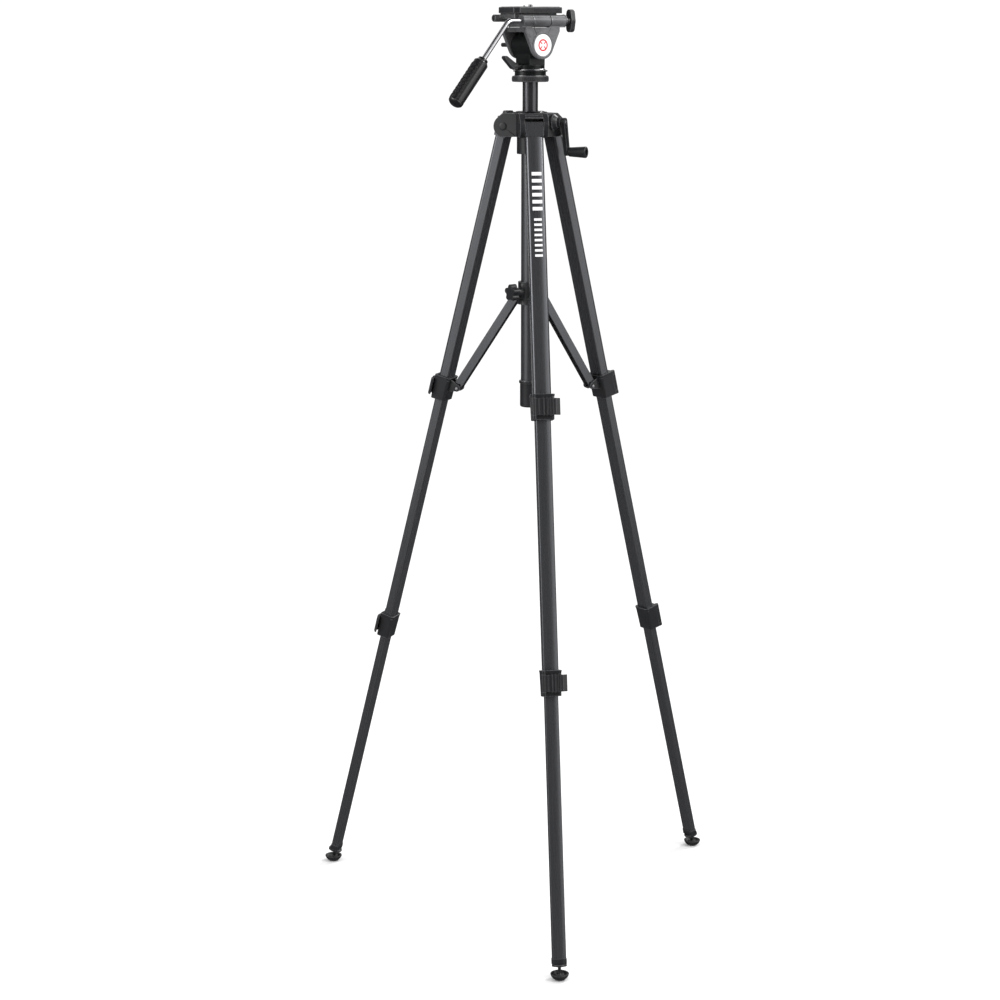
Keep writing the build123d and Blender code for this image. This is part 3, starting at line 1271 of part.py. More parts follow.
release_bottom = platform_bottom + RELEASE_EAR_THICKNESS + SIDE_GAP
with BuildPart() as release:
    with BuildSketch(head_level(release_bottom)):
        with Locations((RELEASE_AT, release_side)):
            Circle(RELEASE_THICKNESS / 2)
        with Locations((RELEASE_AT + RELEASE_LENGTH, release_side + RELEASE_FLARE)):
            Circle(RELEASE_THICKNESS / 2)
        make_hull()
    extrude(amount=quick_bottom - SIDE_GAP - release_bottom)
    with BuildSketch(head_level(release_bottom)):
        with Locations((RELEASE_AT, release_side)):
            Circle(RELEASE_PIN_R)
    extrude(amount=-RELEASE_EAR_THICKNESS - SIDE_GAP)
finish(release, "release_lever")

wing_plane = head_front(wing_face, barrel_side, barrel_z)
with BuildPart() as flip_lock:
    with BuildSketch(head_front(BARREL_REAR + ROD_SEAT + SIDE_GAP, barrel_side, barrel_z)):
        Circle(FLIP_SHAFT_R)
    extrude(amount=wing_face - BARREL_REAR - ROD_SEAT)
    with BuildSketch(head_front(BARREL_FRONT + SIDE_GAP, barrel_side, barrel_z)):
        Circle(WING_STEM_R)
    extrude(amount=wing_face - BARREL_FRONT)
    with BuildSketch(wing_plane):
        Circle(WING_HUB_R)
        for end in (-1, 1):
            with Locations((0, end * (WING_HEIGHT - WING_WIDTH) / 2)):
                Circle(WING_WIDTH / 2)
        make_hull()
    extrude(amount=WING_THICKNESS)
    fillet(flip_lock.faces().sort_by(Axis(wing_plane.origin, wing_plane.z_dir))[-1].edges(), WING_EDGE_R)
finish(flip_lock, "flip_lock_knob")

screw_bore_r = SCREW_SHANK_R + SCREW_GAP
tongue_bottom = quick_bottom - TONGUE_DEPTH
screw_bottom = tongue_bottom + SCREW_GAP
pin_bottom = quick_bottom - PIN_HEAD_HEIGHT

with BuildPart() as quick_plate:
    with BuildSketch(head_level(quick_bottom)):
        outline = Rectangle(QUICK_LENGTH, QUICK_WIDTH)
        chamfer(outline.vertices(), QUICK_CORNER)
    extrude(amount=quick_top - quick_bottom)
    chamfer(quick_plate.faces().sort_by(Axis.Z)[-1].edges(), QUICK_EDGE)
    with BuildSketch(head_level(tongue_bottom)):
        Rectangle(TONGUE_LENGTH, TONGUE_WIDTH)
    extrude(amount=TONGUE_DEPTH)
    with BuildSketch(head_level(tongue_bottom)):
        Circle(screw_bore_r)
        with Locations((-PIN_BACK, 0)):
            Circle(PIN_R + PIN_GAP)
    extrude(amount=quick_top - tongue_bottom, mode=Mode.SUBTRACT)
    with BuildSketch(head_level(tongue_bottom)):
        Circle(SCREW_HEAD_R + SCREW_GAP)
    extrude(amount=SCREW_HEAD_HEIGHT + 2 * SCREW_GAP, mode=Mode.SUBTRACT)
    with BuildSketch(head_level(tongue_bottom)):
        with Locations((-PIN_BACK, 0)):
            Circle(PIN_HEAD_R + PIN_GAP)
    extrude(amount=TONGUE_DEPTH + PIN_GAP, mode=Mode.SUBTRACT)
finish(quick_plate, "quick_release_plate")

with BuildPart() as camera_screw:
    with BuildSketch(head_level(screw_bottom)):
        Circle(SCREW_HEAD_R)
        Rectangle(3 * SCREW_HEAD_R, SCREW_SLOT, mode=Mode.SUBTRACT)
    extrude(amount=SCREW_HEAD_HEIGHT / 2)
    with BuildSketch(head_level(screw_bottom + SCREW_HEAD_HEIGHT / 2)):
        Circle(SCREW_HEAD_R)
    extrude(amount=SCREW_HEAD_HEIGHT / 2)
    with BuildSketch(head_level(screw_bottom + SCREW_HEAD_HEIGHT)):
        Circle(SCREW_SHANK_R)
    extrude(amount=quick_top - screw_bottom - SCREW_HEAD_HEIGHT)
    with BuildSketch(head_level(quick_top)):
        Circle(SCREW_R)
    extrude(amount=SCREW_PROUD)
    chamfer(camera_screw.edges().filter_by(GeomType.CIRCLE).sort_by(Axis.Z)[-1], SCREW_TIP)
finish(camera_screw, "camera_screw")

with BuildPart() as steady_pin:
    with BuildSketch(head_level(pin_bottom)):
        with Locations((-PIN_BACK, 0)):
            Circle(PIN_HEAD_R)
    extrude(amount=PIN_HEAD_HEIGHT)
    with BuildSketch(head_level(pin_bottom)):
        with Locations((-PIN_BACK, 0)):
            Circle(PIN_R)
    extrude(amount=quick_top + PIN_PROUD - pin_bottom)
    chamfer(steady_pin.edges().filter_by(GeomType.CIRCLE).sort_by(Axis.Z)[-1], SCREW_TIP)
finish(steady_pin, "steady_pin")


# ---------------------------------------------------------------------------
# Pan handle
# ---------------------------------------------------------------------------

rod_plane = head_side(barrel_side, 0, barrel_z)
bend_x = BARREL_REAR - ROD_STRAIGHT
drop = radians(ROD_DROP)
tip_x = bend_x - BEND_TO_TIP * cos(drop)
tip_y = -BEND_TO_TIP * sin(drop)
rod_end_x = tip_x + GRIP_END_WALL * cos(drop)
rod_end_y = tip_y + GRIP_END_WALL * sin(drop)

with BuildPart() as handle_rod:
    with BuildLine(rod_plane):
        FilletPolyline((BARREL_REAR + ROD_SEAT, 0), (bend_x, 0), (rod_end_x, rod_end_y), radius=ROD_BEND_R)
    with BuildSketch(head_front(BARREL_REAR + ROD_SEAT, barrel_side, barrel_z)):
        Circle(ROD_R)
    sweep()
finish(handle_rod, "handle_rod")

bend = across_head(bend_x, barrel_side, barrel_z)
tip = across_head(tip_x, barrel_side, barrel_z + tip_y)
grip_plane = Plane(origin=tip, x_dir=bend - tip, z_dir=rod_plane.z_dir)

with BuildPart() as grip:
    with BuildSketch(grip_plane):
        with BuildLine():
            ThreePointArc((0, 0), (GRIP_DOME_MID, GRIP_DOME_MID_R), (GRIP_DOME, GRIP_R))
            Polyline(
                (GRIP_DOME, GRIP_R),
                (GRIP_LENGTH - GRIP_SHOULDER, GRIP_R),
                (GRIP_LENGTH - GRIP_LIP, GRIP_NECK_R),
                (GRIP_LENGTH, GRIP_NECK_R),
                (GRIP_LENGTH, ROD_R),
                (GRIP_END_WALL, ROD_R),
                (GRIP_END_WALL, 0),
                (0, 0),
            )
        make_face()
    revolve(axis=Axis(grip_plane.origin, grip_plane.x_dir))
finish(grip, "handle_grip")
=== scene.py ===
"""Surveyor tripod: finished pieces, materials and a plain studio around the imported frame.

Leg, Head and Shoulder make the object's pieces, and Studio its floor, lights and camera.
Lengths are in metres, and every piece takes its place from the frame's nodes and joints.
"""
import json
import logging
from dataclasses import dataclass, field
from enum import Enum
from math import acos, atan2, cos, pi, radians, sin

import bmesh
import bpy
from mathutils import Matrix, Vector

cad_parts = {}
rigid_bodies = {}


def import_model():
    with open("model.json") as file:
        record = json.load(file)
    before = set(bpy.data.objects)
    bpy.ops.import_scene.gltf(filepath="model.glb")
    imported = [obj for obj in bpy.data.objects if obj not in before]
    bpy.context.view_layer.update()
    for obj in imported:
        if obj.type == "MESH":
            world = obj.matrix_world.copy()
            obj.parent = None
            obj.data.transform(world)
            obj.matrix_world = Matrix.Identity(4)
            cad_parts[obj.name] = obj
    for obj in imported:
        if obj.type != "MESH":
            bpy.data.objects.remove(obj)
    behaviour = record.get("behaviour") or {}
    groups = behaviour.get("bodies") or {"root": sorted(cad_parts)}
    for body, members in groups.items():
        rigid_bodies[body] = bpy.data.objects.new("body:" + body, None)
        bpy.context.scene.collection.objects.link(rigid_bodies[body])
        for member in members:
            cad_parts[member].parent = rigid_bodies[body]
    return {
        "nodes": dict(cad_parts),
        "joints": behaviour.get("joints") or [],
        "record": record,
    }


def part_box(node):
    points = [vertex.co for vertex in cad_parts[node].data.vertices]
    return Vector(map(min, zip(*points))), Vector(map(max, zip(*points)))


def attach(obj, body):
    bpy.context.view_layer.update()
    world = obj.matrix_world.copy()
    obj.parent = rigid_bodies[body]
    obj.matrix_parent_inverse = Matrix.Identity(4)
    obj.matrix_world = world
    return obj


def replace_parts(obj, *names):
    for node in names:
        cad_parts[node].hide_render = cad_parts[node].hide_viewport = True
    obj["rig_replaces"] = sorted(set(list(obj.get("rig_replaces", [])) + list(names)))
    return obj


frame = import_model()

LOG = logging.getLogger("tripod")
MM = 0.001
FULL_TURN = 2 * pi
Point = tuple[float, float, float]
Colour = tuple[float, float, float, float]
Outline = list[tuple[float, float]]

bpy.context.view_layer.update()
JOINTS: dict[str, dict] = {joint["name"]: joint for joint in frame["joints"]}
BODY_OF: dict[str, str] = {
    node: body for body, nodes in frame["record"]["behaviour"]["bodies"].items() for node in nodes
}
SLOT_OF: dict[str, str] = {row["node"]: row["material_slot"] for row in frame["record"]["subparts"]}
LEG_LETTERS = ("a", "b", "c")


def joint_place(name: str) -> Vector:
    """The point that a hinge turns about.

    Args:
        name: the joint's name.

    Returns:
        Its place in the frame, in metres.
    """
    return Vector(JOINTS[name]["pos_m"])


def joint_axis(name: str) -> Vector:
    """The direction of a joint.

    Args:
        name: the joint's name.

    Returns:
        Its unit axis in the frame.
    """
    return Vector(JOINTS[name]["axis"]).normalized()


# ---------------------------------------------------------------------------
# Local axes
# ---------------------------------------------------------------------------

@dataclass(frozen=True)
class Axes:
    """A local frame: an origin and three square directions."""

    origin: Vector
    x: Vector
    y: Vector
    z: Vector

    @classmethod
    def along(cls, origin: Vector, z: Vector, x: Vector) -> "Axes":
        """Axes with a given z, and x as near as it goes to the one given.

        Args:
            origin: the local origin.
            z: the direction of the local z.
            x: a direction that isn't parallel to z.

        Returns:
            The axes.
        """
        z = z.normalized()
        x = (x - z * x.dot(z)).normalized()
        return cls(origin, x, z.cross(x), z)

    @classmethod
    def upright(cls, origin: Vector) -> "Axes":
        """Axes that stand at a point with the frame's own directions."""
        return cls(origin, Vector((1, 0, 0)), Vector((0, 1, 0)), Vector((0, 0, 1)))

    @property
    def matrix(self) -> Matrix:
        """The transform from local to frame coordinates."""
        turn = Matrix((self.x, self.y, self.z)).transposed().to_4x4()
        return Matrix.Translation(self.origin) @ turn

    def span(self, node: str) -> tuple[Vector, Vector]:
        """How far a CAD node reaches along these axes.

        Args:
            node: the node's name.

        Returns:
            Its lowest and highest local corner.
        """
        back = self.matrix.inverted()
        places = [back @ vertex.co for vertex in frame["nodes"][node].data.vertices]
        low = Vector(min(place[i] for place in places) for i in range(3))
        high = Vector(max(place[i] for place in places) for i in range(3))
        return low, high


WORLD = Axes.upright(Vector((0, 0, 0)))


def millimetres(points: Outline) -> Outline:
    """Points written in millimetres, brought to metres."""
    return [(across * MM, up * MM) for across, up in points]


def ring_section(points: Outline) -> Outline:
    """The section of a ring, written in millimetres, brought to metres and closed."""
    return millimetres([*points, points[0]])


def bar(start: float, end: float, half: float) -> Outline:
    """The four corners of a bar along x.

    Args:
        start: where it starts.
        end: where it ends.
        half: half its width.

    Returns:
        The corners, in order.
    """
    return [(start, -half), (end, -half), (end, half), (start, half)]


# ---------------------------------------------------------------------------
# Finishes
# ---------------------------------------------------------------------------

class Pattern(Enum):
    """How the surface of a finish is broken up."""

    DRAWN = "drawn"
    MOULDED = "moulded"
    CAST = "cast"
    POLISHED = "polished"
    RUBBED = "rubbed"


@dataclass(frozen=True)
class Finish:
    """One surface: its colour, gloss and pattern.

    The grain is in features per metre, the relief in metres, and the spread is how far the
    colour strays either way.
    """

    COAT_ROUGHNESS = 0.12
    CLOUDS_PER_GRAIN = 1 / 40
    SMOOTHER = 0.08
    ROUGHER = 0.1
    BUMP_STRENGTH = 0.8
    RAMP = (0.35, 0.65)
    PATCHES = (0.3, 0.7)
    STRETCH = {Pattern.DRAWN: 0.012, Pattern.RUBBED: 0.2}

    name: str
    colour: Point
    pattern: Pattern
    roughness: float = 0.45
    metallic: float = 0.0
    specular: float = 0.5
    coat: float = 0.0
    # The next two fields give the lighter colour of the rounded edges and how strongly it shows: partly real
    # rubbed wear, partly a painted edge highlight.
    worn_and_sheen: Point = (0.2, 0.2, 0.21)
    wear_and_sheen: float = 0.35
    spread: float = 0.25
    grain: float = 900.0
    relief: float = 0.00003

    def material(self) -> bpy.types.Material:
        """The finish's material, made once.

        Returns:
            The material.
        """
        made = bpy.data.materials.get(f"finish_{self.name}")
        return made or self._paint()

    def _paint(self) -> bpy.types.Material:
        """Builds the node tree.

        Returns:
            The new material.
        """
        material = bpy.data.materials.new(f"finish_{self.name}")
        material.use_nodes = True
        material.diffuse_color = (*self.colour, 1.0)
        tree = material.node_tree
        shader = tree.nodes["Principled BSDF"]
        shader.inputs["Metallic"].default_value = self.metallic
        shader.inputs["Specular IOR Level"].default_value = self.specular
        shader.inputs["Coat Weight"].default_value = self.coat
        shader.inputs["Coat Roughness"].default_value = self.COAT_ROUGHNESS
        place = self._coordinates(tree)
        fine = self._noise(tree, place, self.grain, 3.0)
        broad = self._noise(tree, place, self.grain * self.CLOUDS_PER_GRAIN, 2.0)
        blend = self._blend(tree, 0.5, self._mix(tree, broad), self._mix(tree, fine))
        # Mix in the lighter edge colour: partly real wear, partly a painted edge highlight.
        worn_and_sheen = self._blend(tree, self._wear_and_sheen_mask(tree, fine), blend, (*self.worn_and_sheen, 1.0))
        tree.links.new(worn_and_sheen, shader.inputs["Base Color"])
        gloss = tree.nodes.new("ShaderNodeMapRange")
        gloss.inputs["To Min"].default_value = max(self.roughness - self.SMOOTHER, 0.02)
        gloss.inputs["To Max"].default_value = min(self.roughness + self.ROUGHER, 1.0)
        tree.links.new(fine, gloss.inputs["Value"])
        tree.links.new(gloss.outputs["Result"], shader.inputs["Roughness"])
        bump = tree.nodes.new("ShaderNodeBump")
        bump.inputs["Distance"].default_value = self.relief
        bump.inputs["Strength"].default_value = self.BUMP_STRENGTH
        tree.links.new(fine, bump.inputs["Height"])
        tree.links.new(bump.outputs["Normal"], shader.inputs["Normal"])
        return material

    def _shade(self, factor: float) -> Colour:
        """The base colour, lighter or darker."""
        return (*(min(channel * factor, 1.0) for channel in self.colour), 1.0)

    def _coordinates(self, tree: bpy.types.NodeTree) -> bpy.types.NodeSocket:
        """The coordinates that the pattern reads.

        Args:
            tree: the material's node tree.

        Returns:
            A vector socket.
        """
        source = tree.nodes.new("ShaderNodeAttribute")
        source.attribute_name = "grain"
        stretch = tree.nodes.new("ShaderNodeMapping")
        stretch.inputs["Scale"].default_value = (1.0, 1.0, self.STRETCH.get(self.pattern, 1.0))
        tree.links.new(source.outputs["Vector"], stretch.inputs["Vector"])
        return stretch.outputs["Vector"]

    @staticmethod
    def _noise(
        tree: bpy.types.NodeTree, place: bpy.types.NodeSocket, scale: float, detail: float
    ) -> bpy.types.NodeSocket:
        """A noise value at a scale.

        Args:
            tree: the material's node tree.
            place: the coordinates to read.
            scale: features per metre.
            detail: octaves.

        Returns:
            The value's socket.
        """
        noise = tree.nodes.new("ShaderNodeTexNoise")
        noise.inputs["Scale"].default_value = scale
        noise.inputs["Detail"].default_value = detail
        tree.links.new(place, noise.inputs["Vector"])
        return noise.outputs["Fac"]

    def _wear_and_sheen_mask(self, tree: bpy.types.NodeTree, fine: bpy.types.NodeSocket) -> bpy.types.NodeSocket:
        """How far the edges are painted lighter, partly as rubbed wear and partly as a painted highlight:
        along edges, and unevenly.

        Args:
            tree: the material's node tree.
            fine: the fine noise.

        Returns:
            A value socket from 0 to 1.
        """
        edge = tree.nodes.new("ShaderNodeAttribute")
        edge.attribute_name = "edge"
        patchy = tree.nodes.new("ShaderNodeMapRange")
        patchy.inputs["From Min"].default_value, patchy.inputs["From Max"].default_value = self.PATCHES
        patchy.inputs["To Max"].default_value = self.wear_and_sheen
        tree.links.new(fine, patchy.inputs["Value"])
        product = tree.nodes.new("ShaderNodeMath")
        product.operation = "MULTIPLY"
        tree.links.new(edge.outputs["Fac"], product.inputs[0])
        tree.links.new(patchy.outputs["Result"], product.inputs[1])
        return product.outputs["Value"]

    def _mix(self, tree: bpy.types.NodeTree, value: bpy.types.NodeSocket) -> bpy.types.NodeSocket:
        """The finish's colour, darker at a noise's troughs and lighter at its crests.

        Args:
            tree: the material's node tree.
            value: the noise.

        Returns:
            The colour's socket.
        """
        ramp = tree.nodes.new("ShaderNodeValToRGB")
        shades = (self._shade(1 - self.spread), self._shade(1 + self.spread))
        for stop, place, shade in zip(ramp.color_ramp.elements, self.RAMP, shades):
            stop.position = place
            stop.color = shade
        tree.links.new(value, ramp.inputs["Fac"])
        return ramp.outputs["Color"]

    @staticmethod
    def _blend(
        tree: bpy.types.NodeTree,
        factor: float | bpy.types.NodeSocket,
        first: bpy.types.NodeSocket,
        second: bpy.types.NodeSocket | Colour,
    ) -> bpy.types.NodeSocket:
        """Two colours mixed.

        Args:
            tree: the material's node tree.
            factor: the second colour's share, a number or a socket.
            first: the first colour.
            second: the second colour, a socket or fixed.

        Returns:
            The mixed colour's socket.
        """
        mix = tree.nodes.new("ShaderNodeMix")
        mix.data_type = "RGBA"
        if isinstance(factor, float):
            mix.inputs["Factor"].default_value = factor
        else:
            tree.links.new(factor, mix.inputs["Factor"])
        tree.links.new(first, mix.inputs["A"])
        if isinstance(second, tuple):
            mix.inputs["B"].default_value = second
        else:
            tree.links.new(second, mix.inputs["B"])
        return mix.outputs["Result"]


ANODISED = Finish(
    "black_anodised", (0.125, 0.127, 0.135), Pattern.DRAWN, 0.27, 0.8, wear_and_sheen=0.15, spread=0.1
)
COLUMN_BLACK = Finish(
    "column_black", (0.11, 0.11, 0.118), Pattern.DRAWN, 0.18, 0.85, wear_and_sheen=0.15, spread=0.1
)
MOULDED = Finish("moulded_plastic", (0.016, 0.0165, 0.018), Pattern.MOULDED, 0.34, specular=0.45, wear_and_sheen=0.6)
LEVER = Finish("lever_plastic", (0.02, 0.02, 0.022), Pattern.MOULDED, 0.32, wear_and_sheen=0.35, spread=0.15)
CASTING = Finish(
    "head_casting", (0.1, 0.101, 0.105), Pattern.CAST, 0.36, 0.3, 0.6, wear_and_sheen=0.6, spread=0.7,
    grain=700.0, relief=0.00014,
)
DARK_CASTING = Finish(
    "dark_casting", (0.006, 0.007, 0.007), Pattern.CAST, 0.3, specular=0.3, wear_and_sheen=0.3, spread=0.4,
    relief=0.00008,
)
GLOSS_BLACK = Finish("gloss_black", (0.008, 0.008, 0.009), Pattern.POLISHED, 0.2, coat=0.3, spread=0.1)
GRIP = Finish("grip_rubber", (0.008, 0.008, 0.009), Pattern.RUBBED, 0.26, specular=0.5, coat=0.2)
RUBBER = Finish("foot_rubber", (0.014, 0.014, 0.015), Pattern.RUBBED, 0.55, specular=0.4, spread=0.3)
PAD = Finish("plate_pad", (0.016, 0.016, 0.017), Pattern.RUBBED, 0.62, grain=1600.0, relief=0.00006)
STEEL = Finish(
    "brushed_steel", (0.42, 0.42, 0.43), Pattern.DRAWN, 0.32, 1.0, spread=0.08, worn_and_sheen=(0.6, 0.6, 0.6)
)
CHROME = Finish(
    "chrome", (0.78, 0.78, 0.8), Pattern.POLISHED, 0.08, 1.0, spread=0.02,
    worn_and_sheen=(0.8, 0.8, 0.8), relief=0.000002,
)
WHITE = Finish(
    "badge_white", (0.82, 0.82, 0.83), Pattern.POLISHED, 0.24, coat=0.5, spread=0.02, relief=0.000004
)
RED = Finish("badge_red", (0.6, 0.008, 0.012), Pattern.POLISHED, 0.28, coat=0.4, spread=0.04, relief=0.000004)
PRINT = Finish("white_print", (0.82, 0.82, 0.83), Pattern.POLISHED, 0.45, spread=0.04, relief=0.000004)
VIAL = Finish(
    "level_fluid", (0.34, 0.52, 0.06), Pattern.POLISHED, 0.08, coat=1.0, spread=0.05, relief=0.000002
)
BUBBLE = Finish(
    "level_bubble", (0.75, 0.85, 0.45), Pattern.POLISHED, 0.05, coat=1.0, spread=0.02, relief=0.000002
)


# ---------------------------------------------------------------------------
# Shaping
# ---------------------------------------------------------------------------

class Solid:
    """A closed shape under construction in its local axes, in metres."""

    SHARP = radians(28)
    SHADED_SHARP = radians(32)
    FLAT = radians(0.4)
    WELD = 2e-6

    def __init__(self, axes: Axes = WORLD) -> None:
        """Starts an empty shape.

        Args:
            axes: the local axes, placed when the shape is done.
        """
        self.axes = axes
        self.bm = bmesh.new()
        self._wear_and_sheen_layer()

    @classmethod
    def from_node(cls, node: str, axes: Axes = WORLD) -> "Solid":
        """A welded copy of a CAD node, with its flat faces whole.

        Args:
            node: the node's name.
            axes: the local axes to bring it to.

        Returns:
            The shape.
        """
        solid = cls(axes)
        solid.bm.from_mesh(frame["nodes"][node].data)
        solid._wear_and_sheen_layer()
        bmesh.ops.transform(solid.bm, matrix=axes.matrix.inverted(), verts=solid.bm.verts)
        bmesh.ops.remove_doubles(solid.bm, verts=solid.bm.verts, dist=cls.WELD)
        bmesh.ops.dissolve_limit(
            solid.bm, angle_limit=cls.FLAT, verts=solid.bm.verts, edges=solid.bm.edges
        )
        return solid

    def _wear_and_sheen_layer(self) -> bmesh.types.BMLayerItem:
        """The face layer that marks the rounded edges painted lighter for wear and a painted highlight, made
        where there is none.
        """
        layers = self.bm.faces.layers.float
        return layers.get("edge") or layers.new("edge")

    def turned(self, profile: Outline, steps: int = 64, at: Axes | None = None) -> "Solid":
        """Adds a shape turned about z.

        Args:
            profile: points (radius, height) from the lower pole to the upper one.
            steps: divisions of the full turn.
            at: where it stands, in this shape's own coordinates.

        Returns:
            This shape.
        """
        part = bmesh.new()
        line = [part.verts.new((radius, 0.0, height)) for radius, height in profile]
        edges = [part.edges.new(pair) for pair in zip(line, line[1:])]
        bmesh.ops.spin(
            part, geom=line + edges, cent=(0, 0, 0), axis=(0, 0, 1), angle=FULL_TURN,
            steps=steps, use_merge=True,
        )
        bmesh.ops.remove_doubles(part, verts=part.verts, dist=self.WELD)
        bmesh.ops.dissolve_degenerate(part, edges=part.edges, dist=self.WELD)
        bmesh.ops.recalc_face_normals(part, faces=part.faces)
        return self._join(part, at)

    def prism(self, outline: Outline, low: float, high: float, at: Axes | None = None) -> "Solid":
        """Adds a straight prism.

        Args:
            outline: its corners in the xy plane, in order.
            low: z of its lower face.
            high: z of its upper face.
            at: where it stands, in this shape's own coordinates.

        Returns:
            This shape.
        """
        part = bmesh.new()
        part.faces.new([part.verts.new((x, y, low)) for x, y in outline])
        self._thicken(part, high - low)
        return self._join(part, at)

    def rim(self, outline: Outline, width: float, low: float, high: float, at: Axes | None = None) -> "Solid":
        """Adds a raised frame that follows an outline inside.

        Args:
            outline: the outer corners in the xy plane, in order.
            width: how wide the frame is.
            low: z of its lower face.
            high: z of its upper face.
            at: where it stands, in this shape's own coordinates.

        Returns:
            This shape.
        """
        part = bmesh.new()
        face = part.faces.new([part.verts.new((x, y, low)) for x, y in outline])
        bmesh.ops.inset_region(part, faces=[face], thickness=width, use_even_offset=True)
        bmesh.ops.delete(part, geom=[face], context="FACES_ONLY")
        self._thicken(part, high - low)
        return self._join(part, at)

    @staticmethod
    def _thicken(part: bmesh.types.BMesh, height: float) -> None:
        """Gives a flat shape its height and turns its faces outward.

        Args:
            part: the flat shape.
            height: how far up it reaches.
        """
        grown = bmesh.ops.extrude_face_region(part, geom=list(part.faces))
        raised = [item for item in grown["geom"] if isinstance(item, bmesh.types.BMVert)]
        bmesh.ops.translate(part, vec=(0, 0, height), verts=raised)
        bmesh.ops.recalc_face_normals(part, faces=part.faces)

    def block(self, size: Point, centre: Point, turn: float = 0.0) -> "Solid":
        """Adds a box.

        Args:
            size: its three sides.
            centre: its middle.
            turn: its turn about z, in radians.

        Returns:
            This shape.
        """
        part = bmesh.new()
        place = Matrix.Translation(centre) @ Matrix.Rotation(turn, 4, "Z") @ Matrix.Diagonal((*size, 1))
        bmesh.ops.create_cube(part, size=1.0, matrix=place)
        return self._join(part, None)

    def _join(self, part: bmesh.types.BMesh, at: Axes | None) -> "Solid":
        """Brings another shape into this one.

        Args:
            part: the shape, which is used up.
            at: where it stands.

        Returns:
            This shape.
        """
        if at is not None:
            bmesh.ops.transform(part, matrix=at.matrix, verts=part.verts)
        holder = bpy.data.meshes.new("holder")
        part.to_mesh(holder)
        part.free()
        self.bm.from_mesh(holder)
        bpy.data.meshes.remove(holder)
        return self

    def soften(self, width: float, segments: int = 2) -> "Solid":
        """Rounds the outer edges and marks them for the lighter edge colour, partly rubbed wear and partly a
        painted highlight.

        Args:
            width: the width of the rounding.
            segments: how many faces go round it.

        Returns:
            This shape.
        """
        outer = [
            edge for edge in self.bm.edges
            if len(edge.link_faces) == 2 and edge.is_convex and edge.calc_face_angle(0.0) > self.SHARP
            and edge.calc_length() > width / 2
        ]
        made = bmesh.ops.bevel(
            self.bm, geom=outer, offset=width, offset_type="OFFSET", segments=segments,
            profile=0.5, affect="EDGES", clamp_overlap=False, material=-1,
        )
        # The bevel faces get the lighter edge colour: partly rubbed wear, partly a painted edge highlight.
        layer = self._wear_and_sheen_layer()
        for face in made["faces"]:
            face[layer] = 1.0
        return self

    def piece(self, name: str, finish: Finish, body: str, slot: str | None = None) -> bpy.types.Object:
        """Turns the shape into a finished piece that rides on a body.

        Args:
            name: the piece's name.
            finish: its surface.
            body: the CAD body that it moves with.
            slot: the record's material slot; not used.

        Returns:
            The new object.
        """
        mesh = bpy.data.meshes.new(name)
        self.bm.to_mesh(mesh)
        self.bm.free()
        grain = mesh.attributes.new("grain", "FLOAT_VECTOR", "POINT")
        places = [number for vertex in mesh.vertices for number in vertex.co]
        grain.data.foreach_set("vector", places)
        mesh.transform(self.axes.matrix)
        mesh.polygons.foreach_set("use_smooth", [True] * len(mesh.polygons))
        mesh.set_sharp_from_angle(angle=self.SHADED_SHARP)
        mesh.materials.append(finish.material())
        made = bpy.data.objects.new(name, mesh)
        bpy.context.scene.collection.objects.link(made)
        weigh = made.modifiers.new("weighted_normals", "WEIGHTED_NORMAL")
        weigh.keep_sharp = True
        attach(made, body)
        LOG.info("%s: %d faces on %s", name, len(mesh.polygons), body)
        return made


def refined(node: str, finish: Finish, width: float, axes: Axes = WORLD) -> bpy.types.Object:
    """A CAD node's own shape with rounded edges, in place of the node.

    Args:
        node: the node's name.
        finish: its surface.
        width: the width of the rounding.
        axes: the axes that its grain follows.

    Returns:
        The new object.
    """
    solid = Solid.from_node(node, axes).soften(width)
    made = solid.piece(node + "_shape", finish, BODY_OF[node], SLOT_OF[node])
    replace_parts(made, node)
    return made


# ---------------------------------------------------------------------------
# Legs
# ---------------------------------------------------------------------------

@dataclass(frozen=True)
class MarkRow:
    """A row of equal bars, one below the other."""

    count: int
    width: float
    thickness: float
    pitch: float


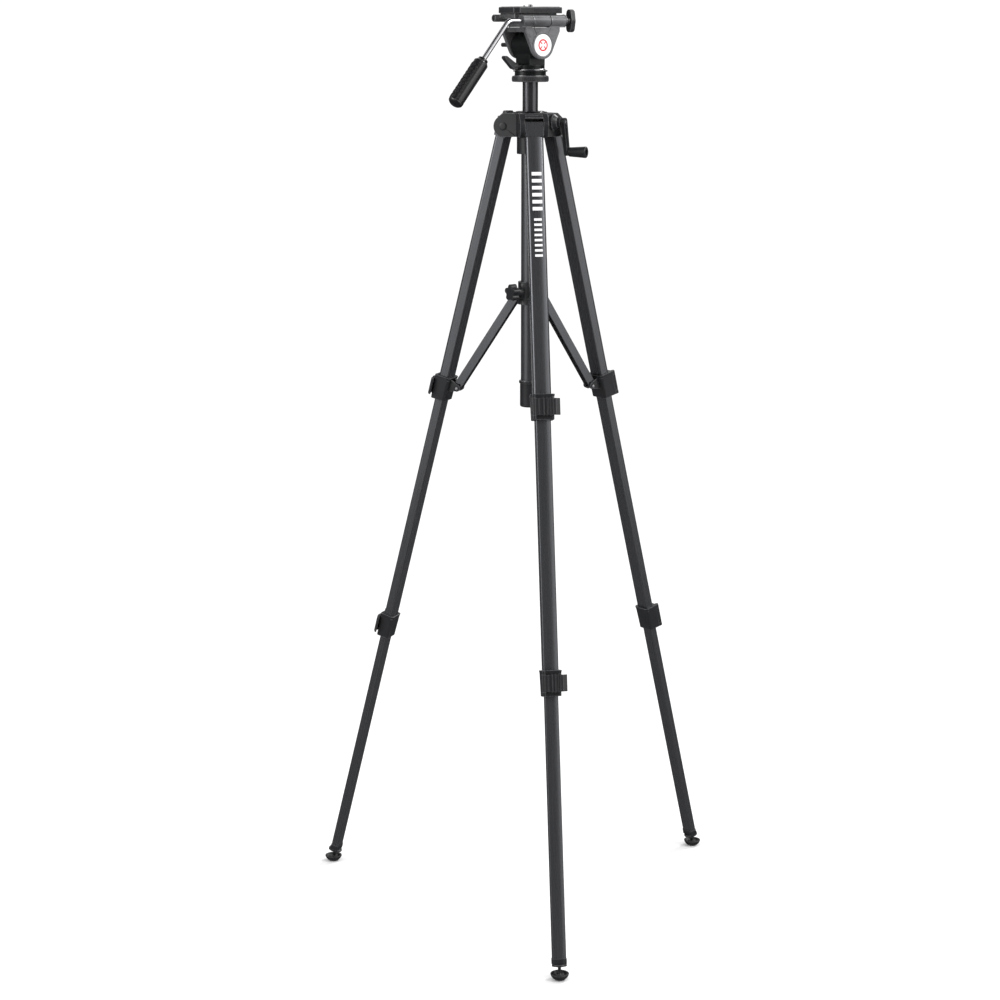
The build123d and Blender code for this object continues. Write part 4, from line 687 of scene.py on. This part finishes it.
@dataclass
class Leg:
    """One leg: three tubes, two clamps with levers, the foot and their small fittings."""

    letter: str
    tube_edge: float = 0.25 * MM
    fitting_edge: float = 0.4 * MM
    clamp_edge: float = 0.7 * MM
    lever_edge: float = 0.45 * MM
    plug_edge: float = 0.5 * MM
    pad_edge: float = 0.35 * MM
    rivet_r: float = 2.7 * MM
    rivet_height: float = 0.9 * MM
    rivet_reach: float = 9.6 * MM
    strut_pin_inset: float = 5.5 * MM
    strut_pin_rise: float = 5.9 * MM
    cap_r: float = 6.4 * MM
    cap_height: float = 1.4 * MM
    cap_sink: float = 0.8 * MM
    rib_count: int = 3
    rib_width: float = 1.5 * MM
    rib_depth: float = 1.6 * MM
    rib_sink: float = 0.4 * MM
    rib_share: float = 0.72
    rib_edge: float = 0.35 * MM
    marks_from: float = 58.0 * MM
    marks_side: float = 0.8 * MM
    marks_gap: float = 6.0 * MM
    marks_depth: float = 0.24 * MM
    marks_sink: float = 0.02 * MM
    mark_rows: tuple[MarkRow, ...] = (
        MarkRow(6, 15.5 * MM, 5.4 * MM, 10.9 * MM),
        MarkRow(8, 12.0 * MM, 3.6 * MM, 8.0 * MM),
    )
    axes: Axes = field(init=False)

    def __post_init__(self) -> None:
        """Lays the local axes: z up the leg, x sideways, y inward."""
        up = joint_axis(self.joint("upper_draw"))
        self.axes = Axes.along(joint_place(self.joint("foot_swivel")), up, joint_axis(self.joint("fold")))

    def joint(self, name: str) -> str:
        """The full name of one of this leg's joints or bodies."""
        return f"leg_{self.letter}_{name}"

    def build(self) -> None:
        """Makes all the pieces of the leg."""
        for part in ("upper_tube", "middle_tube", "lower_tube"):
            refined(self.joint(part), ANODISED, self.tube_edge, self.axes)
        refined(self.joint("top_fitting"), ANODISED, self.fitting_edge, self.axes)
        for part in ("upper_clamp", "lower_clamp"):
            refined(self.joint(part), MOULDED, self.clamp_edge, self.axes)
        for part in ("upper_lever", "lower_lever"):
            refined(self.joint(part), LEVER, self.lever_edge, self.axes)
        refined(self.joint("foot_plug"), MOULDED, self.plug_edge, self.axes)
        self.pad()
        self.rivets()
        self.hinge_caps()
        for part in ("upper_lever", "lower_lever"):
            self.lever_ribs(self.joint(part))
        if self.letter == LEG_LETTERS[0]:
            self.scale_marks()

    def pad(self) -> None:
        """The rubber foot, with its grain centred on the ball."""
        node = self.joint("foot_pad")
        low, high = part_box(node)
        middle = Axes.upright(Vector(((low.x + high.x) / 2, (low.y + high.y) / 2, 0)))
        refined(node, RUBBER, self.pad_edge, middle)

    def rivets(self) -> None:
        """Domed heads on the strut's pin at the upper clamp."""
        strut_end = self.axes.span(f"brace_{self.letter}")[0].z
        clamp_face = self.axes.span(self.joint("upper_clamp"))[1].y
        pin = Vector((0, clamp_face - self.strut_pin_inset, strut_end + self.strut_pin_rise))
        dome = [
            (0.0, 0.0), (self.rivet_r, 0.0), (self.rivet_r, self.rivet_height * 0.35),
            (self.rivet_r * 0.8, self.rivet_height * 0.8), (0.0, self.rivet_height),
        ]
        for side in (-1, 1):
            outward = Vector((side, 0, 0))
            seat = Axes.along(pin + outward * self.rivet_reach, outward, WORLD.z)
            solid = Solid(self.axes).turned(dome, 32, seat)
            solid.piece(self.joint(f"strut_rivet_{side + 2}"), STEEL, self.joint("upper"), "steel")

    def hinge_caps(self) -> None:
        """Dark domed caps over the ends of the leg's hinge pin."""
        place = joint_place(self.joint("fold"))
        along = joint_axis(self.joint("fold"))
        across = Axes.along(place, along, WORLD.z)
        back = across.matrix.inverted()
        local = [back @ vertex.co for vertex in frame["nodes"]["leg_hinge_pins"].data.vertices]
        reach = max(abs(spot.z) for spot in local if Vector((spot.x, spot.y)).length < self.cap_r)
        dome = [
            (0.0, -self.cap_sink), (self.cap_r, -self.cap_sink), (self.cap_r, self.cap_height * 0.5),
            (self.cap_r * 0.86, self.cap_height * 0.9), (self.cap_r * 0.6, self.cap_height),
            (0.0, self.cap_height),
        ]
        solid = Solid(across)
        for side in (-1, 1):
            solid.turned(dome, 40, Axes.along(Vector((0, 0, side * reach)), Vector((0, 0, side)), WORLD.x))
        solid.piece(self.joint("pin_caps"), MOULDED, "crown", "moulded_plastic")

    def lever_ribs(self, lever: str) -> None:
        """Finger ribs down the face of a clamp lever.

        Args:
            lever: the lever's node, which is its body's name too.
        """
        low, high = self.axes.span(lever)
        rib = (self.rib_width, self.rib_depth, (high.z - low.z) * self.rib_share)
        middle = (high.z + low.z) / 2
        solid = Solid(self.axes)
        for step in range(self.rib_count):
            x = low.x + (high.x - low.x) * (0.4 + 0.12 * step)
            solid.block(rib, (x, low.y + self.rib_sink, middle))
        solid.soften(self.rib_edge)
        solid.piece(f"{lever}_ribs", LEVER, lever, "lever_plastic")

    def scale_marks(self) -> None:
        """Plain white graduation bars printed on the face of the upper tube."""
        low, high = self.axes.span(self.joint("upper_tube"))
        solid = Solid(self.axes)
        top = high.z - self.marks_from
        for row in self.mark_rows:
            for step in range(row.count):
                centre = (self.marks_side, low.y - self.marks_sink, top - step * row.pitch)
                solid.block((row.width, self.marks_depth, row.thickness), centre)
            top -= row.count * row.pitch + self.marks_gap
        solid.piece(self.joint("scale_marks"), PRINT, self.joint("upper"))


# ---------------------------------------------------------------------------
# Head
# ---------------------------------------------------------------------------

@dataclass
class Head:
    """Details of the pan and tilt head: plate ribs, badge, barrel rings, plate pad, grip and base."""

    pan_edge: float = 0.35 * MM
    tilt_edge: float = 0.4 * MM
    knob_edge: float = 0.6 * MM
    plate_edge: float = 0.7 * MM
    detail_edge: float = 0.3 * MM
    plate_half: float = 34.0 * MM
    plate_top: float = 27.0 * MM
    shoulder: float = 6.0 * MM
    boss_r: float = 21.5 * MM
    plate_face: float = 31.0 * MM
    border: float = 1.9 * MM
    spoke_rise: float = 1.55
    tick_count: int = 4
    washer_places: tuple[float, ...] = (-20.6 * MM, 14.1 * MM, 44.4 * MM)
    pad_rows: int = 9
    pad_strips: tuple[tuple[float, float], ...] = ((-28.5 * MM, 27.0 * MM), (26.0 * MM, 32.0 * MM))
    edge_ridges: int = 26
    base_ridges: int = 60
    band_r: float = 24.3 * MM
    ring_height: float = 6.3 * MM
    grip_drop: float = radians(49.8)
    stud_rows: int = 5
    stud_columns: int = 9
    stud_pitch: float = 7.4 * MM
    stud_turn: float = radians(24)
    groove_depths: tuple[float, float] = (4.0 * MM, 7.0 * MM)
    axes: Axes = field(init=False)

    def __post_init__(self) -> None:
        """Lays the local axes: x forward, y to the far side, z up, from the tilt axis."""
        self.axes = Axes.along(joint_place("tilt"), WORLD.z, joint_axis("flip_lock"))

    def build(self) -> None:
        """Makes all the details of the head."""
        for node, finish, edge in (
            ("pan_body", DARK_CASTING, self.pan_edge),
            ("pan_base", MOULDED, self.knob_edge),
            ("tilt_body", CASTING, self.tilt_edge),
            ("flip_platform", CASTING, self.plate_edge),
            ("flip_lock_knob", MOULDED, self.knob_edge),
            ("quick_release_plate", MOULDED, self.plate_edge),
        ):
            refined(node, finish, edge, self.axes)
        self.plate_ribs()
        self.badge()
        self.barrel_rings()
        self.plate_pad()
        self.base_bands()
        self.grip()
        self.wing_grooves()

    def side(self, across: float, way: int) -> Axes:
        """Axes on an upright side of the head: x forward, y up and z outward.

        Args:
            across: how far the side is from the middle.
            way: -1 for the near side, 1 for the far one.

        Returns:
            The axes, in the head's own coordinates.
        """
        return Axes.along(Vector((0, way * across, 0)), Vector((0, way, 0)), Vector((-way, 0, 0)))

    def plate_outline(self) -> Outline:
        """The side plate: a bar along the top drawn down to the round boss."""
        foot = self.plate_top - self.shoulder
        corner = Vector((self.plate_half, foot))
        touch = atan2(corner.y, corner.x) - acos(self.boss_r / corner.length)
        steps = 28
        turns = [touch - (pi + 2 * touch) * step / steps for step in range(steps + 1)]
        arc = [(self.boss_r * cos(turn), self.boss_r * sin(turn)) for turn in turns]
        return [
            (-self.plate_half, foot), (-self.plate_half, self.plate_top),
            (self.plate_half, self.plate_top), (self.plate_half, foot), *arc,
        ]

    def plate_ribs(self) -> None:
        """A raised border, slanting ribs and a boss ring on the outside of each side plate."""
        boss = ring_section([(17.4, -0.3), (20.4, -0.3), (20.4, 0.5), (19.8, 1.1), (18.0, 1.1), (17.4, 0.5)])
        spoke = bar(19.0 * MM, 32.5 * MM, 0.9 * MM)
        solid = Solid(self.axes)
        for way in (-1, 1):
            face = self.side(self.plate_face, way)
            solid.rim(self.plate_outline(), self.border, -0.4 * MM, 0.9 * MM, face)
            solid.turned(boss, 64, face)
            for lean in (-1, 1):
                aim = Axes.along(face.origin, face.z, face.x * lean + face.y * self.spoke_rise)
                solid.prism(spoke, -0.4 * MM, 0.8 * MM, aim)
        solid.soften(self.detail_edge)
        solid.piece("side_plate_ribs", CASTING, "tilt", "head_casting")

    def badge(self) -> None:
        """A plain red ring with four ticks on the white disc of the tilt axle."""
        low, _ = self.axes.span("tilt_axle")
        face = self.side(-low.y, -1)
        solid = Solid(self.axes)
        solid.turned(ring_section([(7.0, -0.1), (9.2, -0.1), (9.2, 0.14), (7.0, 0.14)]), 64, face)
        for tick in range(self.tick_count):
            turn = pi / 4 + FULL_TURN * tick / self.tick_count
            aim = Axes.along(face.origin, face.z, face.x * cos(turn) + face.y * sin(turn))
            solid.prism(bar(2.6 * MM, 7.4 * MM, 0.9 * MM), -0.1 * MM, 0.14 * MM, aim)
        solid.piece("badge_mark", RED, "tilt")
        body = Solid.from_node("tilt_axle", self.axes).soften(self.detail_edge)
        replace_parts(body.piece("tilt_axle_shape", WHITE, "tilt", "badge_white"), "tilt_axle")

    def barrel_rings(self) -> None:
        """Thin bright washers at the ends of the barrel's middle knuckle."""
        centre = self.axes.matrix.inverted() @ joint_place("flip")
        washer = ring_section([(8.6, -0.5), (9.5, -0.5), (9.7, -0.25), (9.7, 0.25), (9.5, 0.5), (8.6, 0.5)])
        solid = Solid(self.axes)
        for forward in self.washer_places:
            stand = Vector((forward, centre.y, centre.z))
            solid.turned(washer, 48, Axes.along(stand, WORLD.x, WORLD.z))
        solid.piece("barrel_washers", STEEL, "tilt", "steel")

    def plate_pad(self) -> None:
        """A ribbed rubber pad on the quick plate, and a knurled strip on its near side."""
        low, high = self.axes.span("quick_release_plate")
        body = BODY_OF["quick_release_plate"]
        ridges = Solid(self.axes)
        width = (high.y - low.y) / (self.pad_rows + 2)
        for row in range(self.pad_rows):
            y = (row - self.pad_rows // 2) * width
            for x, length in self.pad_strips:
                ridges.block((length, width * 0.62, 1.0 * MM), (x, y, high.z + 0.1 * MM))
        ridges.soften(0.25 * MM)
        ridges.piece("plate_pad_ridges", PAD, body, "rubber")
        knurl = Solid(self.axes)
        for step in range(self.edge_ridges):
            x = (-12.0 + 2.0 * step) * MM
            knurl.block((1.1 * MM, 1.2 * MM, 6.4 * MM), (x, low.y - 0.1 * MM, high.z - 5.0 * MM))
        knurl.soften(self.detail_edge)
        knurl.piece("plate_edge_knurl", MOULDED, body, "plate_plastic")

    def base_bands(self) -> None:
        """Knurling round the pan base, and the bands and the flange where the head turns on it."""
        _, high = self.axes.span("pan_base")
        radius = high.x
        body = BODY_OF["pan_base"]
        knurl = Solid(self.axes)
        for step in range(self.base_ridges):
            turn = FULL_TURN * step / self.base_ridges
            spot = (radius * cos(turn), radius * sin(turn), high.z - 4.9 * MM)
            knurl.block((1.1 * MM, 1.5 * MM, 5.6 * MM), spot, turn)
        knurl.soften(self.detail_edge)
        knurl.piece("base_knurl", MOULDED, body, "moulded_plastic")
        top = Axes.upright(Vector((0, 0, high.z)))
        inner = self.band_r / MM
        band = ring_section([
            (inner, -0.5), (inner + 1.2, -0.5), (inner + 1.2, 0.6), (inner + 0.5, 1.0), (inner, 1.0),
        ])
        Solid(self.axes).turned(band, 72, top).piece("base_band", STEEL, "pan", "steel")
        neck = Axes.upright(Vector((0, 0, high.z + self.ring_height)))
        flange = ring_section([
            (20.0, 0.1), (26.6, 0.1), (27.0, 0.5), (27.0, 1.7), (26.4, 2.2), (23.4, 2.2), (20.0, 2.2),
        ])
        solid = Solid(self.axes).turned(flange, 80, neck)
        solid.piece("neck_flange", GLOSS_BLACK, "pan", "moulded_plastic")
        foot = ring_section([(21.0, 2.0), (23.6, 2.0), (23.6, 3.6), (22.9, 4.4), (21.0, 4.4)])
        Solid(self.axes).turned(foot, 80, neck).piece("neck_band", STEEL, "pan", "steel")

    def grip(self) -> None:
        """Diamond studs along the top of the handle grip, and a band round its end."""
        low, high = self.axes.span("handle_grip")
        along = Vector((-cos(self.grip_drop), 0, -sin(self.grip_drop)))
        upper = Vector((-sin(self.grip_drop), 0, cos(self.grip_drop)))
        tube = Axes.along((low + high) / 2, along, upper)
        body = BODY_OF["handle_grip"]
        radius = (high.y - low.y) / 2
        diamond = millimetres([(3.1, 0.0), (0.0, 2.0), (-3.1, 0.0), (0.0, -2.0)])
        studs = Solid(self.axes)
        for count in range(self.stud_rows):
            row = count - self.stud_rows // 2
            outward = tube.x * cos(self.stud_turn * row) + tube.y * sin(self.stud_turn * row)
            for step in range(self.stud_columns):
                way = (step - self.stud_columns // 2 + 0.5 * (row % 2)) * self.stud_pitch
                seat = tube.origin + outward * (radius - 0.5 * MM) + along * way
                studs.prism(diamond, 0.0, 1.15 * MM, Axes.along(seat, outward, along))
        studs.soften(self.detail_edge)
        studs.piece("grip_studs", GRIP, body, "grip_rubber")
        inner, outer = radius / MM - 0.6, radius / MM + 0.35
        band = ring_section([(inner, 34.5), (outer, 34.7), (outer, 37.0), (inner, 37.2)])
        Solid(self.axes).turned(band, 56, tube).piece("grip_band", GLOSS_BLACK, body, "grip_rubber")

    def wing_grooves(self) -> None:
        """Finger ribs on the two wings of the flip lock."""
        low, high = self.axes.span("flip_lock_knob")
        middle = (low.y + high.y) / 2
        solid = Solid(self.axes)
        heights = [high.z - depth for depth in self.groove_depths]
        heights += [low.z + depth for depth in self.groove_depths]
        for height in heights:
            solid.block((8.9 * MM, 9.0 * MM, 1.2 * MM), (high.x - 4.2 * MM, middle, height))
        solid.soften(self.detail_edge)
        solid.piece("wing_ribs", MOULDED, "flip_lock", "moulded_plastic")


@dataclass
class Shoulder:
    """Details of the crown and the column's lower parts."""

    crown_edge: float = 0.8 * MM
    lip_edge: float = 1.1 * MM
    lip_sizes: tuple[Point, Point] = ((27.8 * MM, 21.0 * MM, 3.0 * MM), (27.8 * MM, 17.0 * MM, 3.2 * MM))
    lip_places: tuple[tuple[float, float], ...] = ((-2.5 * MM, 14.5 * MM), (2.5 * MM, 17.5 * MM))

    def build(self) -> None:
        """Makes all the details of the crown."""
        refined("crown", MOULDED, self.crown_edge)
        self.bubble()
        self.lips()
        self.collar()
        self.guide_ring()
        self.crank_screw()

    def bubble(self) -> None:
        """A ring round the level, its line and its bubble."""
        low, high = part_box("bubble_level")
        middle = Axes.upright(Vector(((low.x + high.x) / 2, (low.y + high.y) / 2, high.z)))
        ring = ring_section([(6.0, -1.6), (7.4, -1.6), (7.4, 0.1), (7.0, 0.4), (6.3, 0.4), (6.0, 0.1)])
        line = ring_section([(2.6, -0.3), (2.95, -0.3), (2.95, 0.08), (2.6, 0.08)])
        drop = millimetres([(0.0, -0.2), (1.9, -0.2), (1.7, 0.12), (1.0, 0.26), (0.0, 0.3)])
        Solid(middle).turned(ring, 48).piece("level_ring", MOULDED, "crown")
        Solid(middle).turned(line, 48).piece("level_line", GLOSS_BLACK, "crown")
        Solid(middle).turned(drop, 40).piece("level_bubble", BUBBLE, "crown")

    def lips(self) -> None:
        """Two rounded bands over the top of each leg, between the crown's cheeks."""
        middle = joint_place("pan")
        for letter in LEG_LETTERS:
            place = joint_place(f"leg_{letter}_fold")
            inward = Vector((middle.x - place.x, middle.y - place.y, 0))
            axes = Axes.along(place, WORLD.z, joint_axis(f"leg_{letter}_fold"))
            way = 1 if axes.y.dot(inward) > 0 else -1
            solid = Solid(axes)
            for size, (forward, height) in zip(self.lip_sizes, self.lip_places):
                solid.block(size, (0.0, way * forward, height))
            solid.soften(self.lip_edge, 3)
            solid.piece(f"crown_lip_{letter}", MOULDED, "crown", "moulded_plastic")

    @staticmethod
    def over(node: str) -> Axes:
        """Axes on the column's line at the height of a node's top.

        Args:
            node: the node's name.

        Returns:
            The axes.
        """
        axis = joint_place("pan")
        return Axes.upright(Vector((axis.x, axis.y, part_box(node)[1].z)))

    def collar(self) -> None:
        """A stepped collar round the column on top of the crown."""
        steps = ring_section([
            (20.0, -3.2), (26.4, -3.2), (26.8, -2.6), (26.8, -1.4), (26.2, -0.9), (23.0, -0.9),
            (22.4, -0.3), (22.4, 0.1), (20.0, 0.1),
        ])
        Solid(self.over("column_bush")).turned(steps, 80).piece("crown_collar", GLOSS_BLACK, "crown")

    def guide_ring(self) -> None:
        """A pale line where the end cap meets the guide tube."""
        line = ring_section([(14.0, -0.5), (15.0, -0.5), (15.0, 0.3), (14.6, 0.7), (14.0, 0.7)])
        Solid(self.over("guide_tube_cap")).turned(line, 64).piece("guide_ring", STEEL, "crown", "steel")

    def crank_screw(self) -> None:
        """A slotless screw head on the hub of the crank arm."""
        axes = Axes.along(joint_place("crank_turn"), joint_axis("crank_turn"), WORLD.z)
        _, high = axes.span("elevator_pinion")
        head = millimetres([(0.0, -0.6), (3.4, -0.6), (3.4, 0.5), (2.6, 1.0), (0.0, 1.2)])
        solid = Solid(axes).turned(head, 32, Axes.upright(Vector((0, 0, high.z))))
        solid.piece("crank_screw", STEEL, BODY_OF["crank_arm"], "steel")


# ---------------------------------------------------------------------------
# Studio
# ---------------------------------------------------------------------------

@dataclass(frozen=True)
class Panel:
    """A square soft light."""

    name: str
    place: Point
    power: float


@dataclass
class Studio:
    """Pale floor, soft lights and the camera.

    The camera's azimuth, pitch and swing are in degrees, and so are the walls' start and end.
    """

    lens: float = 81.9
    sensor: float = 36.0
    distance: float = 3.621
    height: float = 1.423
    azimuth: float = -7.58
    pitch: float = 11.72
    swing: float = 0.75
    floor_half: float = 600.0
    floor_colour: Colour = (0.8, 0.8, 0.8, 1.0)
    card_colour: Colour = (0.07, 0.07, 0.075, 1.0)
    walls: tuple[tuple[int, int], ...] = ((-40, 30), (80, 172), (188, 283))
    wall_steps: int = 16
    card_r: float = 4.6
    card_height: float = 5.2
    roof_r: float = 3.5
    ground_height: float = 0.003
    surround: float = 1.04
    panel_size: float = 1.4
    panel_aim: Point = (0.0, 0.09, 0.9)
    panels: tuple[Panel, ...] = (
        Panel("key_panel", (2.6, -1.4, 3.0), 60.0),
        Panel("fill_panel", (-2.9, -0.6, 2.0), 30.0),
    )
    sun_energy: float = 1.35
    sun_width: float = radians(14)
    sun_way: Point = (-1.0, -0.8, -1.0)

    def build(self) -> None:
        """Sets up everything that isn't the object."""
        self.floor()
        self.cards()
        self.lights()
        self.camera()
        bpy.context.scene.view_settings.view_transform = "Standard"

    def floor(self) -> None:
        """A wide pale floor."""
        mesh = bpy.data.meshes.new("floor")
        bm = bmesh.new()
        bmesh.ops.create_grid(bm, x_segments=1, y_segments=1, size=self.floor_half)
        bm.to_mesh(mesh)
        bm.free()
        floor = bpy.data.objects.new("floor", mesh)
        bpy.context.scene.collection.objects.link(floor)
        material = bpy.data.materials.new("pale_floor")
        material.use_nodes = True
        shader = material.node_tree.nodes["Principled BSDF"]
        shader.inputs["Base Color"].default_value = self.floor_colour
        shader.inputs["Roughness"].default_value = 0.9
        shader.inputs["Specular IOR Level"].default_value = 0.1
        mesh.materials.append(material)

    def cards(self) -> None:
        """Tall dark cards that only reflections see, with bright gaps left between them."""
        material = bpy.data.materials.new("dark_card")
        material.use_nodes = True
        tree = material.node_tree
        tree.nodes.remove(tree.nodes["Principled BSDF"])
        glow = tree.nodes.new("ShaderNodeEmission")
        glow.inputs["Color"].default_value = self.card_colour
        tree.links.new(glow.outputs["Emission"], tree.nodes["Material Output"].inputs["Surface"])
        axis = joint_place("pan")
        for number, (start, end) in enumerate(self.walls):
            bm = bmesh.new()
            rows = []
            for step in range(self.wall_steps + 1):
                turn = radians(start + (end - start) * step / self.wall_steps)
                x, y = axis.x + self.card_r * sin(turn), axis.y - self.card_r * cos(turn)
                rows.append((bm.verts.new((x, y, 0.0)), bm.verts.new((x, y, self.card_height))))
            for left, right in zip(rows, rows[1:]):
                bm.faces.new((left[0], right[0], right[1], left[1]))
            self.card(f"wall_card_{number}", bm, material)
        for name, radius, height in (
            ("roof_card", self.roof_r, self.card_height),
            ("ground_card", self.card_r, self.ground_height),
        ):
            bm = bmesh.new()
            place = Matrix.Translation((axis.x, axis.y, height))
            bmesh.ops.create_circle(bm, cap_ends=True, segments=64, radius=radius, matrix=place)
            self.card(name, bm, material)

    @staticmethod
    def card(name: str, bm: bmesh.types.BMesh, material: bpy.types.Material) -> None:
        """Puts up one card that only reflections see.

        Args:
            name: its name.
            bm: its shape, which is used up.
            material: its surface.
        """
        mesh = bpy.data.meshes.new(name)
        bm.to_mesh(mesh)
        bm.free()
        mesh.materials.append(material)
        card = bpy.data.objects.new(name, mesh)
        bpy.context.scene.collection.objects.link(card)
        card.visible_camera = False
        card.visible_diffuse = False
        card.visible_shadow = False
        card.visible_transmission = False

    def lights(self) -> None:
        """A white surround, two large soft panels and a weak sun."""
        world = bpy.data.worlds.new("surround")
        world.use_nodes = True
        background = world.node_tree.nodes["Background"]
        background.inputs["Color"].default_value = (1, 1, 1, 1)
        background.inputs["Strength"].default_value = self.surround
        bpy.context.scene.world = world
        for panel in self.panels:
            lamp = bpy.data.lights.new(panel.name, "AREA")
            lamp.shape = "SQUARE"
            lamp.size = self.panel_size
            lamp.energy = panel.power
            self.hang(lamp, Vector(panel.place), Vector(self.panel_aim) - Vector(panel.place))
        lamp = bpy.data.lights.new("low_sun", "SUN")
        lamp.energy = self.sun_energy
        lamp.angle = self.sun_width
        self.hang(lamp, Vector((0, 0, 0)), Vector(self.sun_way))

    @staticmethod
    def hang(lamp: bpy.types.Light, place: Vector, way: Vector) -> None:
        """Puts a light in the scene.

        Args:
            lamp: the light.
            place: where it hangs.
            way: the direction that it shines in.
        """
        made = bpy.data.objects.new(lamp.name, lamp)
        made.location = place
        made.rotation_euler = way.to_track_quat("-Z", "Y").to_euler()
        bpy.context.scene.collection.objects.link(made)

    def camera(self) -> None:
        """The camera, level with the crown and looking down on the feet."""
        data = bpy.data.cameras.new("camera")
        data.lens = self.lens
        data.sensor_width = self.sensor
        camera = bpy.data.objects.new("camera", data)
        turn = radians(self.azimuth)
        axis = joint_place("pan")
        camera.location = (
            axis.x + self.distance * sin(turn), axis.y - self.distance * cos(turn), self.height
        )
        camera.rotation_euler = (pi / 2 - radians(self.pitch), 0.0, radians(self.azimuth + self.swing))
        bpy.context.scene.collection.objects.link(camera)
        bpy.context.scene.camera = camera


def main() -> None:
    """Builds every sub-assembly in order."""
    logging.basicConfig(level=logging.INFO, format="%(name)s %(message)s")
    Studio().build()
    for letter in LEG_LETTERS:
        Leg(letter).build()
    Head().build()
    Shoulder().build()
    dress_rest()


def dress_rest() -> None:
    """Rounds and dresses every node that no sub-assembly has replaced."""
    done = {node for made in bpy.data.objects for node in made.get("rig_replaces", [])}
    usual_edge = 0.4 * MM
    edges = {"column_bush": 0.5 * MM, "guide_tube": 0.2 * MM, "guide_tube_cap": 0.5 * MM}
    finishes = {
        "anodised_tube": ANODISED, "column_anodised": COLUMN_BLACK, "moulded_plastic": MOULDED,
        "lever_plastic": LEVER, "head_casting": CASTING, "plate_plastic": MOULDED, "rubber": RUBBER,
        "grip_rubber": GRIP, "steel": STEEL, "chrome": CHROME, "badge_white": WHITE, "level_glass": VIAL,
    }
    for node in frame["nodes"]:
        if node not in done:
            refined(node, finishes[SLOT_OF[node]], edges.get(node, usual_edge))


if __name__ == "__main__":
    main()
